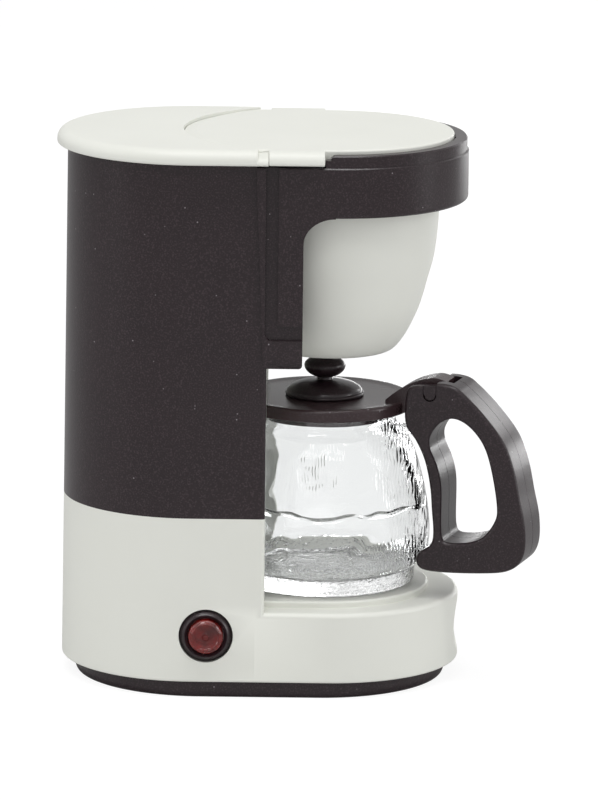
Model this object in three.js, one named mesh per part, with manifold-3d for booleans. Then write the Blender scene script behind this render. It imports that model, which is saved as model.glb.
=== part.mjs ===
// Miniature drip coffee machine, about one sixth of a kitchen one.
// Millimetres, +Z up. The origin lies on the table plane, below the centre of the front half round.
// +X is the front, where the pot slides out, and -Y is the side with the button.

import * as THREE from "three";
import { mergeVertices } from "three/addons/utils/BufferGeometryUtils.js";
import Module from "manifold-3d";

const wasm = await Module();
wasm.setup();

// Steps in round forms
const halfRoundSteps = 18;
const turnedSteps = 36;
const smallTurnedSteps = 12;
const buttonSteps = 20;
const cornerSteps = 3;
const handleOutlineSteps = 78;
const loopSteps = 44;
const weldTolerance = 1e-5;

// Fits and overruns
const slipFit = 0.06;
const seatFit = 0.05;
const looseFit = 0.1;
const turnedSeatGap = 0.3;
const cutOverrun = 2;

// Body: a half round at each end, slightly narrower at the top
const machineHeight = 60;
const coverThickness = 1.62;
const columnTop = machineHeight - coverThickness;
const baseHalfWidth = 14.3;
const bodyTaper = 0.45;
const topHalfWidth = baseHalfWidth - bodyTaper;
const rearCentreX = -14.82;
const frontCentreX = 0;

// Base plate, set in from the housing and a little more at its ends
const plateThickness = 1.8;
const plateInset = 0.45;
const plateEndInset = 1;
const plateEdgeInset = 0.45;
const plateEdgeHeight = 0.85;
const plateRibHeight = 1;
const plateRibThickness = 0.8;

// Lower housing: a ledge round the front, and on it the raised plate that the pot stands on
const ledgeTop = 9.5;
const ledgeThickness = 1.3;
const ledgeEdge = 0.55;
const platformTop = 10.2;
const platformHalfWidth = 11.5;
const platformEdge = 0.25;
const housingTop = 19.84;
const housingWall = 1.3;
const housingDeck = 1.2;
const housingFootEdge = 0.25;
const scoopDepth = 0.65;
const scoopHeight = 5.9;
const scoopWidth = 15;
const scoopCentreZ = 5.4;
const scoopBulge = 1.55;
const deckPadHeight = 0.8;
const deckPadMargin = 1.2;

// Column shell, a dark wrap that is open at the front
const columnFrontX = -6.85;
const columnCorner = 0.45;
const shellWall = 1.1;
const seamBottomX = -7.12;
const seamTopX = -8;

// Water tank inside the shell, with the hollow that the pot stands in
const tankWall = 1.1;
const tankFloor = 1.1;
const tankFrontWall = 1.1;
const tankTopDrop = 4.08;
const tankTop = columnTop - tankTopDrop;
const recessCeilingDrop = 0.2;
const recessClearance = 1.24;
const pegRadius = 0.8;
const pegLength = 0.6;
const pegSpread = 7;

// Brew head: the dark ring and its two side cheeks
const ringCentreX = 0.35;
const ringOverhang = 0.5;
const ringHalfWidth = topHalfWidth + ringOverhang;
const ringDrop = 0.25;
const ringHeight = 5.45;
const ringTop = columnTop - ringDrop;
const ringBottom = ringTop - ringHeight;
const ringEdge = 0.45;
const headBottom = 36.35;
const footStepHeight = 0.6;
const footStepTop = headBottom + footStepHeight;
const footStepInset = 0.2;
const headBackThickness = 0.95;
const headBackDrop = 1.18;
const headBackTop = columnTop - headBackDrop;
const headSeamGap = 0.06;
const cheekFrontX = -3.05;
const cheekFilletX = 3.4;
const cheekFilletZ = 2.8;
const cheekCorner = 0.4;
const grooveDepth = 0.5;
const grooveRearX = -7.08;
const grooveFrontX = -5.7;
const grooveRise = 3.05;
const grooveHeight = 1.6;
const grooveBottom = headBottom + grooveRise;
const grooveTop = grooveBottom + grooveHeight;
const grooveCorner = 0.8;
const rimInset = 0.45;
const rimDrop = 0.55;
const rimTop = machineHeight - rimDrop;
const rimRearX = -0.24;
const rimChamfer = 0.3;
const rimEndRound = 0.55;
const rimStepDepth = 0.5;
const rimStepTop = rimTop - rimStepDepth;
const rimStepGap = 0.1;
const thumbNotchWidth = 2.6;
const thumbNotchDepth = 0.7;
const thumbNotchAngle = -10;

// Filter basket, a cup with a flat back
const basketRimRadius = 11.62;
const basketHang = 0.5;
const basketBottom = headBottom - basketHang;
const basketBottomRadius = 5.6;
const basketWall = 0.9;
const basketFlangeRadius = 12.85;
const basketFlangeDrop = 2.08;
const basketFlangeBottom = columnTop - basketFlangeDrop;
const basketFlangeThickness = 0.8;
const basketWellGap = 0.5;
const dripHoleRadius = 0.9;
// Outside of the cup from the floor's edge to the rim: share of the way out, share of the way up
const basketOutlineShares = [
  [0.16, 0.008],
  [0.25, 0.026],
  [0.4, 0.083],
  [0.53, 0.154],
  [0.65, 0.235],
  [0.735, 0.315],
  [0.81, 0.4],
  [0.905, 0.505],
  [0.965, 0.64],
  [1, 0.8],
];

// Tank cover
const coverOverhang = 1.15;
const coverFrontX = -0.86;
const coverTopRound = 1.15;
const coverFootRound = 0.25;
const coverRibHeight = 1.2;
const coverRibThickness = 0.8;
const coverRibFrontX = -17.4;

// Front lid, hinged across the middle of the top
const lidRearX = -16.05;
const lidRearBow = 7.9;
const lidSideInset = 0.85;
const lidHalfWidth = topHalfWidth - lidSideInset;
const lidFrontCentreX = 0.1;
const lidDrop = 0.1;
const lidThickness = 1.3;
const lidBottom = machineHeight - lidDrop - lidThickness;
const lidEdge = 0.35;
const lidHollowDepth = 0.5;
const lidHollowMargin = 1.3;
const lidHingeX = -7.9;
const lidHingeDrop = 0.7;
const lidHingeZ = machineHeight - lidHingeDrop;
const lidKnuckleRadius = 0.58;
const lidKnuckleLength = 0.7;
const lidPinRadius = 0.42;
const lidPinReach = 1.25;
const hingeNotchRear = 0.85;
const hingeNotchFront = 0.75;
const hingeNotchDepth = 0.9;
const hingeNotchInner = lidHalfWidth - hingeNotchDepth;

// Pot: turned a little towards the viewer on its own axis
const potAxisX = -0.6;
const potTurn = -18;
const potMaxRadius = 11.66;
const potFootRadius = 10;
const potFootHeight = 1.9;
const potNeckRadius = 7.75;
const potTop = 29.55;
const glassWall = 1;
const glassFloor = 1.3;
// Outside of the glass above its foot: share of the largest radius, share of the height
const glassOutlineShares = [
  [0.885, 0.105],
  [0.955, 0.14],
  [0.985, 0.18],
  [1, 0.3],
  [0.974, 0.457],
  [0.913, 0.63],
  [0.834, 0.774],
  [0.757, 0.848],
  [0.69, 0.897],
  [0.665, 0.93],
];
const lugThickness = 2;
const upperLugBottom = 26.4;
const upperLugTop = 28.2;
const lowerLugBottom = 13;
const lowerLugTop = 14.1;
const upperLugDepth = 0.9;
const lowerLugDepth = 2.9;

// Pot lid with its knob
const potLidRadius = 9.48;
const potLidGap = 0.1;
const potLidBottom = potTop + potLidGap;
const potLidRimHeight = 0.88;
const potLidRimTop = potLidBottom + potLidRimHeight;
const potLidBevel = 0.4;
const potLidBevelInset = 0.28;
const potLidDome = 0.22;
const potLidPlugDepth = 1.2;
const potLidPlugWall = 0.9;
const potLidPlugTaper = 0.25;
const knobFlangeRadius = 4.28;
const knobFlangeThickness = 0.55;
const knobDome = 0.5;
const knobNeckRadius = 0.75;
const knobNeckHeight = 0.35;
const knobRadius = 2.25;
const knobLowerHeight = 1.38;
const knobUpperHeight = 1.05;
const knobStemRadius = 0.8;

// Lid hinge on the handle, in the plane of the handle: reach from the pot's axis, and height
const hingeReach = 12.9;
const hingeRise = 2.55;
const hingeHeight = potLidBottom + hingeRise;
const hingePinRadius = 0.7;
const hingePinEdge = 0.22;
const tongueWidth = 3;
const tongueBarrelRadius = 1.3;
const tongueRootReach = 7.4;
const tonguePeakReach = 13;
const tonguePeakRise = 1.55;
const tonguePeak = hingeHeight + tonguePeakRise;
const tongueTailReach = 14.35;
const tongueTailRise = 1.25;
const tongueTailTop = hingeHeight + tongueTailRise;
// Rise of the tongue between its root and its peak: share of the way out, share of the way up
const tongueShares = [
  [0, 0],
  [0.16, 0.27],
  [0.43, 0.64],
  [0.7, 0.875],
  [1, 1],
];

// Handle: two moulded halves
const handleHalfThickness = 3.1;
const handleSeam = 0.12;
const handleChamfer = 0.3;
const handleReach = 23.92;
const handleTopRise = 1.3;
const handleTop = hingeHeight + handleTopRise;
const handleBottom = 12.7;
const handleEarReach = 10.2;
// Outline from the ear round the outside and back along the pot: share of the span, share of the height
const handleOutlineShares = [
  [0, 0.93],
  [0.02, 0.965],
  [0.08, 0.978],
  [0.17, 0.985],
  [0.26, 1],
  [0.4, 0.988],
  [0.48, 0.952],
  [0.657, 0.842],
  [0.82, 0.707],
  [0.9, 0.575],
  [0.953, 0.42],
  [1, 0.27],
  [0.997, 0.135],
  [0.95, 0.07],
  [0.858, 0.03],
  [0.67, 0.008],
  [0.17, 0],
  [0.115, 0.02],
  [0.1, 0.055],
  [0.12, 0.09],
  [0.225, 0.147],
  [0.222, 0.343],
  [0.203, 0.464],
  [0.156, 0.591],
  [0.084, 0.687],
  [0, 0.763],
];
// Finger loop, in the same shares
const loopShares = [
  [0.385, 0.84],
  [0.28, 0.805],
  [0.198, 0.713],
  [0.2, 0.647],
  [0.28, 0.56],
  [0.305, 0.464],
  [0.312, 0.19],
  [0.335, 0.163],
  [0.53, 0.167],
  [0.655, 0.204],
  [0.755, 0.303],
  [0.763, 0.368],
  [0.668, 0.668],
  [0.583, 0.768],
  [0.475, 0.827],
];
const earSlotWidth = 3.3;
const earSlotReach = 15.2;
const earSlotBottom = 28.9;
const pinSlotGap = 0.06;
const dowelRadius = 0.7;
const dowelDepth = 1.3;
const dowelPlaceShares = [
  [0.88, 0.33],
  [0.5, 0.085],
];

// Push button on the side
const buttonX = -13.1;
const buttonZ = 6.92;
const bezelRadius = 2.85;
const bezelHole = 2.93;
const bezelProud = 0.3;
const bezelBevel = 0.35;
const bezelFace = 0.9;
const bezelLength = 4.2;
const bezelFlangeRadius = 3.4;
const bezelFlangeGap = 0.2;
const bezelFlangeThickness = 0.7;
const lensRadius = 1.87;
const lensProud = 0.55;
const lensDome = 0.5;
const lensFlangeRadius = 2.3;
const lensFlangeThickness = 0.6;
const springWire = 0.28;
const springRadius = 1.25;
const springTurns = 3;
const springStepsPerTurn = 12;
const wireSides = 6;
const retainerThickness = 0.6;
const retainerPegRadius = 0.8;
const retainerPegLength = 0.25;

// Screws that hold the base plate
const screwHeadRadius = 1.3;
const screwHeadThickness = 0.6;
const screwHeadRecess = 0.25;
const screwShankRadius = 0.55;
const screwLength = 5;
const screwBossRadius = 1.5;
const screwSlotWidth = 0.3;
const screwSlotDepth = 0.25;
const rearScrewX = -20;
const frontScrewX = 5;
const screwSideY = 9;

const recessRadius = potMaxRadius + recessClearance;
const seamStepZ = headBottom - seatFit;
const recessCeiling = seamStepZ - recessCeilingDrop;
const pegHeight = (headBottom + tankTop) / 2;
// The lid's rear is a flat arc through three points: its two side corners and its rearmost point
const lidRearRadius = (lidHalfWidth ** 2 + lidRearBow ** 2) / (2 * lidRearBow);
const lidRearCentreX = lidRearX + lidRearRadius;
const upperLugReach = handleEarReach + upperLugDepth;
const lowerLugReach = handleEarReach + lowerLugDepth;
const handleRise = handleTop - handleBottom;
const handleSpan = handleReach - handleEarReach;
const turnAngle = THREE.MathUtils.degToRad(potTurn);

// The body's half width at a height
function halfWidthAt(z) {
  return baseHalfWidth + ((topHalfWidth - baseHalfWidth) * z) / columnTop;
}

// The place of the seam between column and brew head at a height
function seamAt(z) {
  return seamBottomX + ((seamTopX - seamBottomX) * (z - seamStepZ)) / (columnTop - seamStepZ);
}

// Points of an arc, from one angle to another
function arc(x, y, radius, from, to, steps) {
  return Array.from({ length: steps + 1 }, (_, i) => {
    const angle = from + ((to - from) * i) / steps;
    return [x + radius * Math.cos(angle), y + radius * Math.sin(angle)];
  });
}

// A quarter round edge as pairs of inset and rise, from fully inset to none
function quarterRound(inset, rise, steps = cornerSteps) {
  return Array.from({ length: steps + 1 }, (_, i) => {
    const angle = (Math.PI / 2) * (i / steps);
    return [inset * (1 - Math.sin(angle)), rise * (1 - Math.cos(angle))];
  });
}

const quarter = Math.PI / 2;

function stadiumPlan(halfWidth, rearX, frontX) {
  return [
    ...arc(frontX, 0, halfWidth, -quarter, quarter, halfRoundSteps),
    ...arc(rearX, 0, halfWidth, quarter, 3 * quarter, halfRoundSteps),
  ];
}

// Rear half round and a flat front with rounded corners
function columnPlan(halfWidth, frontX, corner) {
  const x = frontX - corner;
  const y = halfWidth - corner;
  return [
    ...arc(x, -y, corner, -quarter, 0, cornerSteps),
    ...arc(x, y, corner, 0, quarter, cornerSteps),
    ...arc(rearCentreX, 0, halfWidth, quarter, 3 * quarter, halfRoundSteps),
  ];
}

// Flat rear and a front half round
function headPlan(halfWidth, rearX, centreX) {
  return [
    [rearX, -halfWidth],
    ...arc(centreX, 0, halfWidth, -quarter, quarter, halfRoundSteps),
    [rearX, halfWidth],
  ];
}

// The lid's outline: a wide rear round, straight sides and a front half round
function lidPlan(rearRadius, halfWidth, frontX) {
  const meet = Math.asin(halfWidth / rearRadius);
  return [
    ...arc(frontX, 0, halfWidth, -quarter, quarter, halfRoundSteps),
    ...arc(lidRearCentreX, 0, rearRadius, Math.PI - meet, Math.PI + meet, halfRoundSteps),
  ];
}

// A closed body through convex outlines of equal count, each a pair of height and points
function stack(levels) {
  const count = levels[0][1].length;
  const positions = [];
  for (const [z, plan] of levels) {
    for (const [x, y] of plan) positions.push(x, y, z);
  }
  const index = [];
  for (let level = 0; level + 1 < levels.length; level += 1) {
    for (let i = 0; i < count; i += 1) {
      const a = level * count + i;
      const b = level * count + ((i + 1) % count);
      index.push(a, b, b + count, a, b + count, a + count);
    }
  }
  const last = (levels.length - 1) * count;
  for (let i = 1; i + 1 < count; i += 1) {
    index.push(0, i + 1, i);
    index.push(last, last + i, last + i + 1);
  }
  const geometry = new THREE.BufferGeometry();
  geometry.setAttribute("position", new THREE.Float32BufferAttribute(positions, 3));
  geometry.setIndex(index);
  return solid(geometry);
}

// A boolean solid from a closed geometry, turned right side out
function solid(geometry) {
  geometry.deleteAttribute("normal");
  geometry.deleteAttribute("uv");
  const merged = mergeVertices(geometry, weldTolerance);
  const positions = merged.attributes.position;
  const corner = (i) => new THREE.Vector3().fromBufferAttribute(positions, i);
  const triangles = [];
  let volume = 0;
  for (let i = 0; i < merged.index.count; i += 3) {
    const [a, b, c] = [0, 1, 2].map((k) => merged.index.getX(i + k));
    if (a === b || b === c || a === c) continue;
    triangles.push([a, b, c]);
    volume += corner(a).dot(corner(b).cross(corner(c)));
  }
  const order = volume < 0 ? [0, 2, 1] : [0, 1, 2];
  const triVerts = new Uint32Array(triangles.flatMap((t) => order.map((k) => t[k])));
  const vertProperties = new Float32Array(positions.array);
  return new wasm.Manifold(new wasm.Mesh({ numProp: 3, vertProperties, triVerts }));
}

// A box between two corners
function block(low, high) {
  const size = high.map((v, i) => v - low[i]);
  const geometry = new THREE.BoxGeometry(...size);
  geometry.translate(...low.map((v, i) => v + size[i] / 2));
  return solid(geometry);
}

// A body turned about an upright axis, from pairs of radius and height
function turned(x, y, profile, steps = turnedSteps) {
  const points = profile.map(([radius, z]) => new THREE.Vector2(radius, z));
  const geometry = new THREE.LatheGeometry(points, steps);
  geometry.rotateX(quarter);
  geometry.translate(x, y, 0);
  return solid(geometry);
}

function cylinder(x, y, radius, bottom, top, steps = turnedSteps) {
  return turned(x, y, [[0, bottom], [radius, bottom], [radius, top], [0, top]], steps);
}

// A body turned about a level axis along Y, from pairs of radius and depth
function turnedAlongY(x, z, profile, steps = smallTurnedSteps) {
  const points = profile.map(([radius, y]) => new THREE.Vector2(radius, y));
  const geometry = new THREE.LatheGeometry(points, steps);
  geometry.translate(x, 0, z);
  return solid(geometry);
}

function cylinderAlongY(x, z, radius, from, to, steps = smallTurnedSteps) {
  return turnedAlongY(x, z, [[0, from], [radius, from], [radius, to], [0, to]], steps);
}

// A side outline in X and Z, as deep as stated on both sides of a middle plane
function sideExtrusion(outline, from, to, chamfer = 0) {
  const shape = new THREE.Shape(outline.map(([x, z]) => new THREE.Vector2(x, z)));
  const geometry = new THREE.ExtrudeGeometry(shape, {
    depth: to - from - chamfer,
    bevelEnabled: chamfer > 0,
    bevelThickness: chamfer,
    bevelSize: chamfer,
    bevelOffset: -chamfer,
    bevelSegments: 1,
  });
  geometry.rotateX(quarter);
  geometry.translate(0, to - chamfer, 0);
  return solid(geometry);
}

// A smooth closed outline through a few points
function smoothOutline(points, steps) {
  const curve = new THREE.CatmullRomCurve3(
    points.map(([x, z]) => new THREE.Vector3(x, z, 0)),
    true,
    "centripetal",
  );
  return curve.getPoints(steps).slice(0, steps).map((p) => [p.x, p.y]);
}

// Shares of the handle's span and rise as reach and height
function handlePoints(shares) {
  return shares.map(([out, up]) => [handleEarReach + out * handleSpan, handleBottom + up * handleRise]);
}

function mesh(name, body, finish) {
  const { vertProperties, triVerts } = body.getMesh();
  const geometry = new THREE.BufferGeometry();
  geometry.setAttribute("position", new THREE.Float32BufferAttribute(vertProperties, 3));
  geometry.setIndex(Array.from(triVerts));
  geometry.computeVertexNormals();
  const part = new THREE.Mesh(geometry, finish);
  part.name = name;
  return part;
}

function ivoryPlastic() {
  return new THREE.MeshStandardMaterial({ color: 0xe9eae2, roughness: 0.42, metalness: 0 });
}

function darkPlastic() {
  return new THREE.MeshStandardMaterial({ color: 0x322a2c, roughness: 0.5, metalness: 0 });
}

function clearPlastic() {
  return new THREE.MeshStandardMaterial({
    color: 0xf4f6f6,
    roughness: 0.05,
    metalness: 0,
    transparent: true,
    opacity: 0.35,
  });
}

function redLens() {
  return new THREE.MeshStandardMaterial({ color: 0x7a1a18, roughness: 0.15, metalness: 0 });
}

function springSteel() {
  return new THREE.MeshStandardMaterial({ color: 0xb9bcc0, roughness: 0.3, metalness: 1 });
}

const screwPlaces = [rearScrewX, frontScrewX].flatMap((x) => [
  [x, -screwSideY],
  [x, screwSideY],
]);

function basePlate() {
  const side = halfWidthAt(plateThickness) - plateInset;
  const [rear, front] = [rearCentreX + plateEndInset, frontCentreX - plateEndInset];
  const plan = (inset) => stadiumPlan(side - inset, rear, front);
  let plate = stack([
    ...quarterRound(plateEdgeInset, plateEdgeHeight).map(([inset, rise]) => [rise, plan(inset)]),
    [plateThickness, plan(0)],
  ]);
  const ribOutside = halfWidthAt(plateThickness) - housingWall - looseFit;
  const ribTop = plateThickness + plateRibHeight;
  const ribPlan = (inset) => stadiumPlan(ribOutside - inset, rearCentreX, frontCentreX);
  const rib = stack([[plateThickness / 2, ribPlan(0)], [ribTop, ribPlan(0)]]).subtract(
    stack([
      [plateThickness, ribPlan(plateRibThickness)],
      [ribTop + cutOverrun, ribPlan(plateRibThickness)],
    ]),
  );
  plate = plate.add(rib);
  const headRoom = screwHeadRadius + looseFit;
  const headTop = screwHeadRecess + screwHeadThickness;
  for (const [x, y] of screwPlaces) {
    const shankHole = screwShankRadius + looseFit;
    plate = plate.subtract(cylinder(x, y, headRoom, -cutOverrun, headTop, smallTurnedSteps));
    plate = plate.subtract(cylinder(x, y, shankHole, -cutOverrun, ribTop + cutOverrun, smallTurnedSteps));
  }
  return mesh("base_plate", plate, darkPlastic());
}

// The round hollow behind the pot, with a stated extra radius
function potRecess(extra, bottom, top) {
  return cylinder(potAxisX, 0, recessRadius + extra, bottom, top);
}

function lowerHousing() {
  const column = (z, inset) => [z, columnPlan(halfWidthAt(z) - inset, columnFrontX, columnCorner)];
  const front = (z, inset) => [z, stadiumPlan(halfWidthAt(z) - inset, rearCentreX, frontCentreX)];
  const foot = quarterRound(housingFootEdge, housingFootEdge, 2);
  const tower = stack([
    ...foot.map(([inset, rise]) => column(plateThickness + rise, inset)),
    column(housingTop, 0),
  ]);
  const shelf = stack([
    ...foot.map(([inset, rise]) => front(plateThickness + rise, inset)),
    ...quarterRound(ledgeEdge, ledgeEdge).reverse().map(([inset, rise]) => front(ledgeTop - rise, inset)),
  ]);
  const recess = potRecess(0, platformTop, housingTop + cutOverrun);
  let housing = tower.subtract(recess).add(shelf).add(raisedPlate());

  const ceiling = ledgeTop - ledgeThickness;
  const deckUnder = housingTop - housingDeck;
  const hollowPlan = (z) => stadiumPlan(halfWidthAt(z) - housingWall, rearCentreX, frontCentreX);
  const wide = stack([
    [plateThickness - cutOverrun, hollowPlan(plateThickness)],
    [plateThickness, hollowPlan(plateThickness)],
    [ceiling, hollowPlan(ceiling)],
  ]);
  const tall = (z) => columnPlan(halfWidthAt(z) - housingWall, columnFrontX - housingWall, columnCorner);
  const high = stack([[ceiling, tall(ceiling)], [deckUnder, tall(deckUnder)]]).subtract(
    potRecess(housingWall, ceiling, housingTop),
  );
  housing = housing.subtract(wide.add(high));

  for (const [x, y] of screwPlaces) {
    const top = x < columnFrontX ? deckUnder : ceiling;
    housing = housing.add(cylinder(x, y, screwBossRadius, plateThickness, top + seatFit, smallTurnedSteps));
    const pilotTop = screwHeadRecess + screwHeadThickness + screwLength + seatFit;
    const pilot = screwShankRadius + seatFit;
    housing = housing.subtract(
      cylinder(x, y, pilot, plateThickness - cutOverrun, pilotTop, smallTurnedSteps),
    );
  }
  const outside = -halfWidthAt(buttonZ);
  const holeEnd = outside + housingWall + cutOverrun;
  const hole = cylinderAlongY(buttonX, buttonZ, bezelHole, outside - cutOverrun, holeEnd, buttonSteps);
  housing = housing.subtract(hole);
  housing = housing.subtract(fingerScoop());

  const padTop = housingTop + deckPadHeight;
  const pad = stack([
    [housingTop - housingDeck / 2, deckPadPlan(housingTop, 0)],
    [padTop, deckPadPlan(padTop, 0)],
  ]).subtract(potRecess(deckPadMargin, housingTop - housingDeck, padTop + cutOverrun));
  return mesh("lower_housing", housing.add(pad), ivoryPlastic());
}

// The plate under the pot, straight at its sides from the column on, round at the front
function raisedPlate() {
  const plan = (inset) => headPlan(platformHalfWidth - inset, columnFrontX - housingWall, potAxisX);
  const edge = quarterRound(platformEdge, platformEdge).reverse();
  return stack([
    [ledgeTop - ledgeEdge, plan(0)],
    ...edge.map(([inset, rise]) => [platformTop - rise, plan(inset)]),
  ]);
}

// The pad that locates the tank on the housing's deck, with a clearance for the tank's own recess
function deckPadPlan(z, clearance) {
  const inset = shellWall + tankWall + deckPadMargin - clearance;
  return columnPlan(halfWidthAt(z) - inset, columnFrontX - inset, columnCorner);
}

// The shallow hollow across the front of the base
function fingerScoop() {
  const reach = scoopBulge - scoopDepth;
  const cut = Math.sqrt(1 - (reach / scoopBulge) ** 2);
  const geometry = new THREE.SphereGeometry(1, turnedSteps, halfRoundSteps);
  geometry.scale(scoopBulge, scoopWidth / 2, scoopHeight / 2 / cut);
  geometry.translate(frontCentreX + halfWidthAt(scoopCentreZ) + reach, 0, scoopCentreZ);
  return solid(geometry);
}

function columnShell() {
  const outside = (z, frontX) => [z, columnPlan(halfWidthAt(z), frontX, columnCorner)];
  const wrap = stack([
    outside(housingTop, columnFrontX),
    outside(seamStepZ, columnFrontX),
    outside(seamStepZ, seamAt(seamStepZ)),
    outside(columnTop, seamAt(columnTop)),
  ]);
  const inside = (z) => stadiumPlan(halfWidthAt(z) - shellWall, rearCentreX, frontCentreX);
  const hollow = stack([
    [housingTop - cutOverrun, inside(housingTop - cutOverrun)],
    [columnTop + cutOverrun, inside(columnTop + cutOverrun)],
  ]);
  return mesh("column_shell", wrap.subtract(hollow), darkPlastic());
}

function tankBody() {
  const inset = shellWall + slipFit;
  const outside = (z, frontX) => [z, columnPlan(halfWidthAt(z) - inset, frontX, columnCorner)];
  let tank = stack([
    outside(housingTop, columnFrontX),
    outside(seamStepZ, columnFrontX),
    outside(seamStepZ, seamBottomX),
    outside(tankTop, seamBottomX),
  ]).subtract(potRecess(0, housingTop - cutOverrun, recessCeiling));
  const innerInset = inset + tankWall;
  const inside = (z, frontX) => [z, columnPlan(halfWidthAt(z) - innerInset, frontX, columnCorner)];
  const floor = housingTop + deckPadHeight + seatFit + tankFloor;
  const hollow = stack([
    inside(floor, seamBottomX - tankFrontWall),
    inside(tankTop + cutOverrun, seamBottomX - tankFrontWall),
  ]).subtract(potRecess(tankWall, housingTop, recessCeiling + tankWall));
  const padRoomTop = housingTop + deckPadHeight + seatFit;
  const padRoom = stack([
    [housingTop - cutOverrun, deckPadPlan(housingTop, looseFit)],
    [padRoomTop, deckPadPlan(padRoomTop, looseFit)],
  ]).subtract(potRecess(deckPadMargin - looseFit, housingTop - cutOverrun, padRoomTop + cutOverrun));
  tank = tank.subtract(hollow).subtract(padRoom);
  for (const y of [-pegSpread, pegSpread]) {
    const pocketEnd = seamBottomX - pegLength - looseFit;
    tank = tank.subtract(pegAlongX(y, pocketEnd, seamBottomX + cutOverrun, pegRadius + slipFit));
  }
  return mesh("tank_body", tank, ivoryPlastic());
}

// A level round peg along X at the height of the head's two pegs
function pegAlongX(y, from, to, radius) {
  const profile = [[0, from], [radius, from], [radius, to], [0, to]];
  const points = profile.map(([r, x]) => new THREE.Vector2(r, x));
  const geometry = new THREE.LatheGeometry(points, smallTurnedSteps);
  geometry.rotateZ(-quarter);
  geometry.translate(0, y, pegHeight);
  return solid(geometry);
}

// Side outline of the cheek, with the round inner corner under the ring
function cheekOutline() {
  const rear = seamTopX - cutOverrun;
  const filletX = cheekFrontX + cheekFilletX;
  const filletZ = ringBottom - cheekFilletZ;
  const bend = arc(0, 0, 1, Math.PI, quarter, 2 * cornerSteps).map(([x, z]) => [
    filletX + x * cheekFilletX,
    filletZ + z * cheekFilletZ,
  ]);
  const foot = arc(0, 0, cheekCorner, -quarter, 0, cornerSteps).map(([x, z]) => [
    cheekFrontX - cheekCorner + x,
    headBottom + cheekCorner + z,
  ]);
  const top = ringBottom + ringEdge;
  return [[rear, headBottom], ...foot, ...bend, [filletX, top], [rear, top]];
}

// The bent groove between the cheek's raised panel and its edge
function grooveOutline() {
  const frontOut = cheekFrontX + cutOverrun;
  const top = columnTop + cutOverrun;
  const bend = (cornerX, cornerZ, radius, from, to) =>
    arc(cornerX + radius, cornerZ + radius, radius, from, to, cornerSteps);
  return [
    [grooveRearX, top],
    ...bend(grooveRearX, grooveBottom, grooveCorner, Math.PI, 3 * quarter),
    [frontOut, grooveBottom],
    [frontOut, grooveTop],
    ...bend(grooveFrontX, grooveTop, grooveCorner / 2, 3 * quarter, Math.PI),
    [grooveFrontX, top],
  ];
}

function brewHead() {
  const gap = headSeamGap;
  const plan = (z, inset = 0) => headPlan(ringHalfWidth - inset, seamAt(z) + gap, ringCentreX);
  const level = (z, inset = 0) => [z, plan(z, inset)];
  const ring = stack([
    ...quarterRound(ringEdge, ringEdge).map(([inset, rise]) => level(ringBottom + rise, inset)),
    level(ringTop),
  ]);
  const cheekSpan = stack([
    level(headBottom, footStepInset),
    level(footStepTop, footStepInset),
    level(footStepTop),
    level(ringTop),
  ]);
  const outer = ringHalfWidth + cutOverrun;
  let head = ring.add(cheekSpan.intersect(sideExtrusion(cheekOutline(), -outer, outer)));
  for (const side of [-1, 1]) {
    const face = side * ringHalfWidth;
    const [from, to] = [face - side * grooveDepth, face + side * cutOverrun].sort((a, b) => a - b);
    head = head.subtract(sideExtrusion(grooveOutline(), from, to));
  }

  // The well for the basket, and the step that carries its flange
  const wellRadius = basketRimRadius + basketWellGap;
  const backX = headBackFrontX();
  const well = (radius, bottom, top) => {
    const keep = block([backX, -outer, bottom], [outer + ringCentreX, outer, top]);
    return cylinder(frontCentreX, 0, radius, bottom, top).intersect(keep);
  };
  head = head.subtract(well(wellRadius, headBottom - cutOverrun, ringTop + cutOverrun));
  head = head.subtract(well(basketFlangeRadius + looseFit, basketFlangeBottom, ringTop + cutOverrun));

  // Upright back plate between the cheeks, clear of the tank's front
  const tankRoom = halfWidthAt(headBottom) - shellWall;
  const rear = seamTopX - cutOverrun;
  const above = ringTop + cutOverrun;
  head = head.subtract(
    block([rear, -tankRoom, headBottom - cutOverrun], [seamBottomX + gap, tankRoom, above]),
  );

  // Room above the back plate, for the lid as it turns
  const lidRoom = lidHalfWidth + looseFit;
  head = head.subtract(block([rear, -lidRoom, headBackTop], [frontCentreX, lidRoom, above]));
  head = head.add(rim());
  for (const y of [-pegSpread, pegSpread]) {
    const x = seamBottomX + gap;
    head = head.add(pegAlongX(y, x - pegLength, x + headBackThickness / 2, pegRadius));
  }
  return mesh("brew_head", head, darkPlastic());
}

// The front face of the head's back plate
function headBackFrontX() {
  return seamBottomX + headSeamGap + headBackThickness;
}

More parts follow.
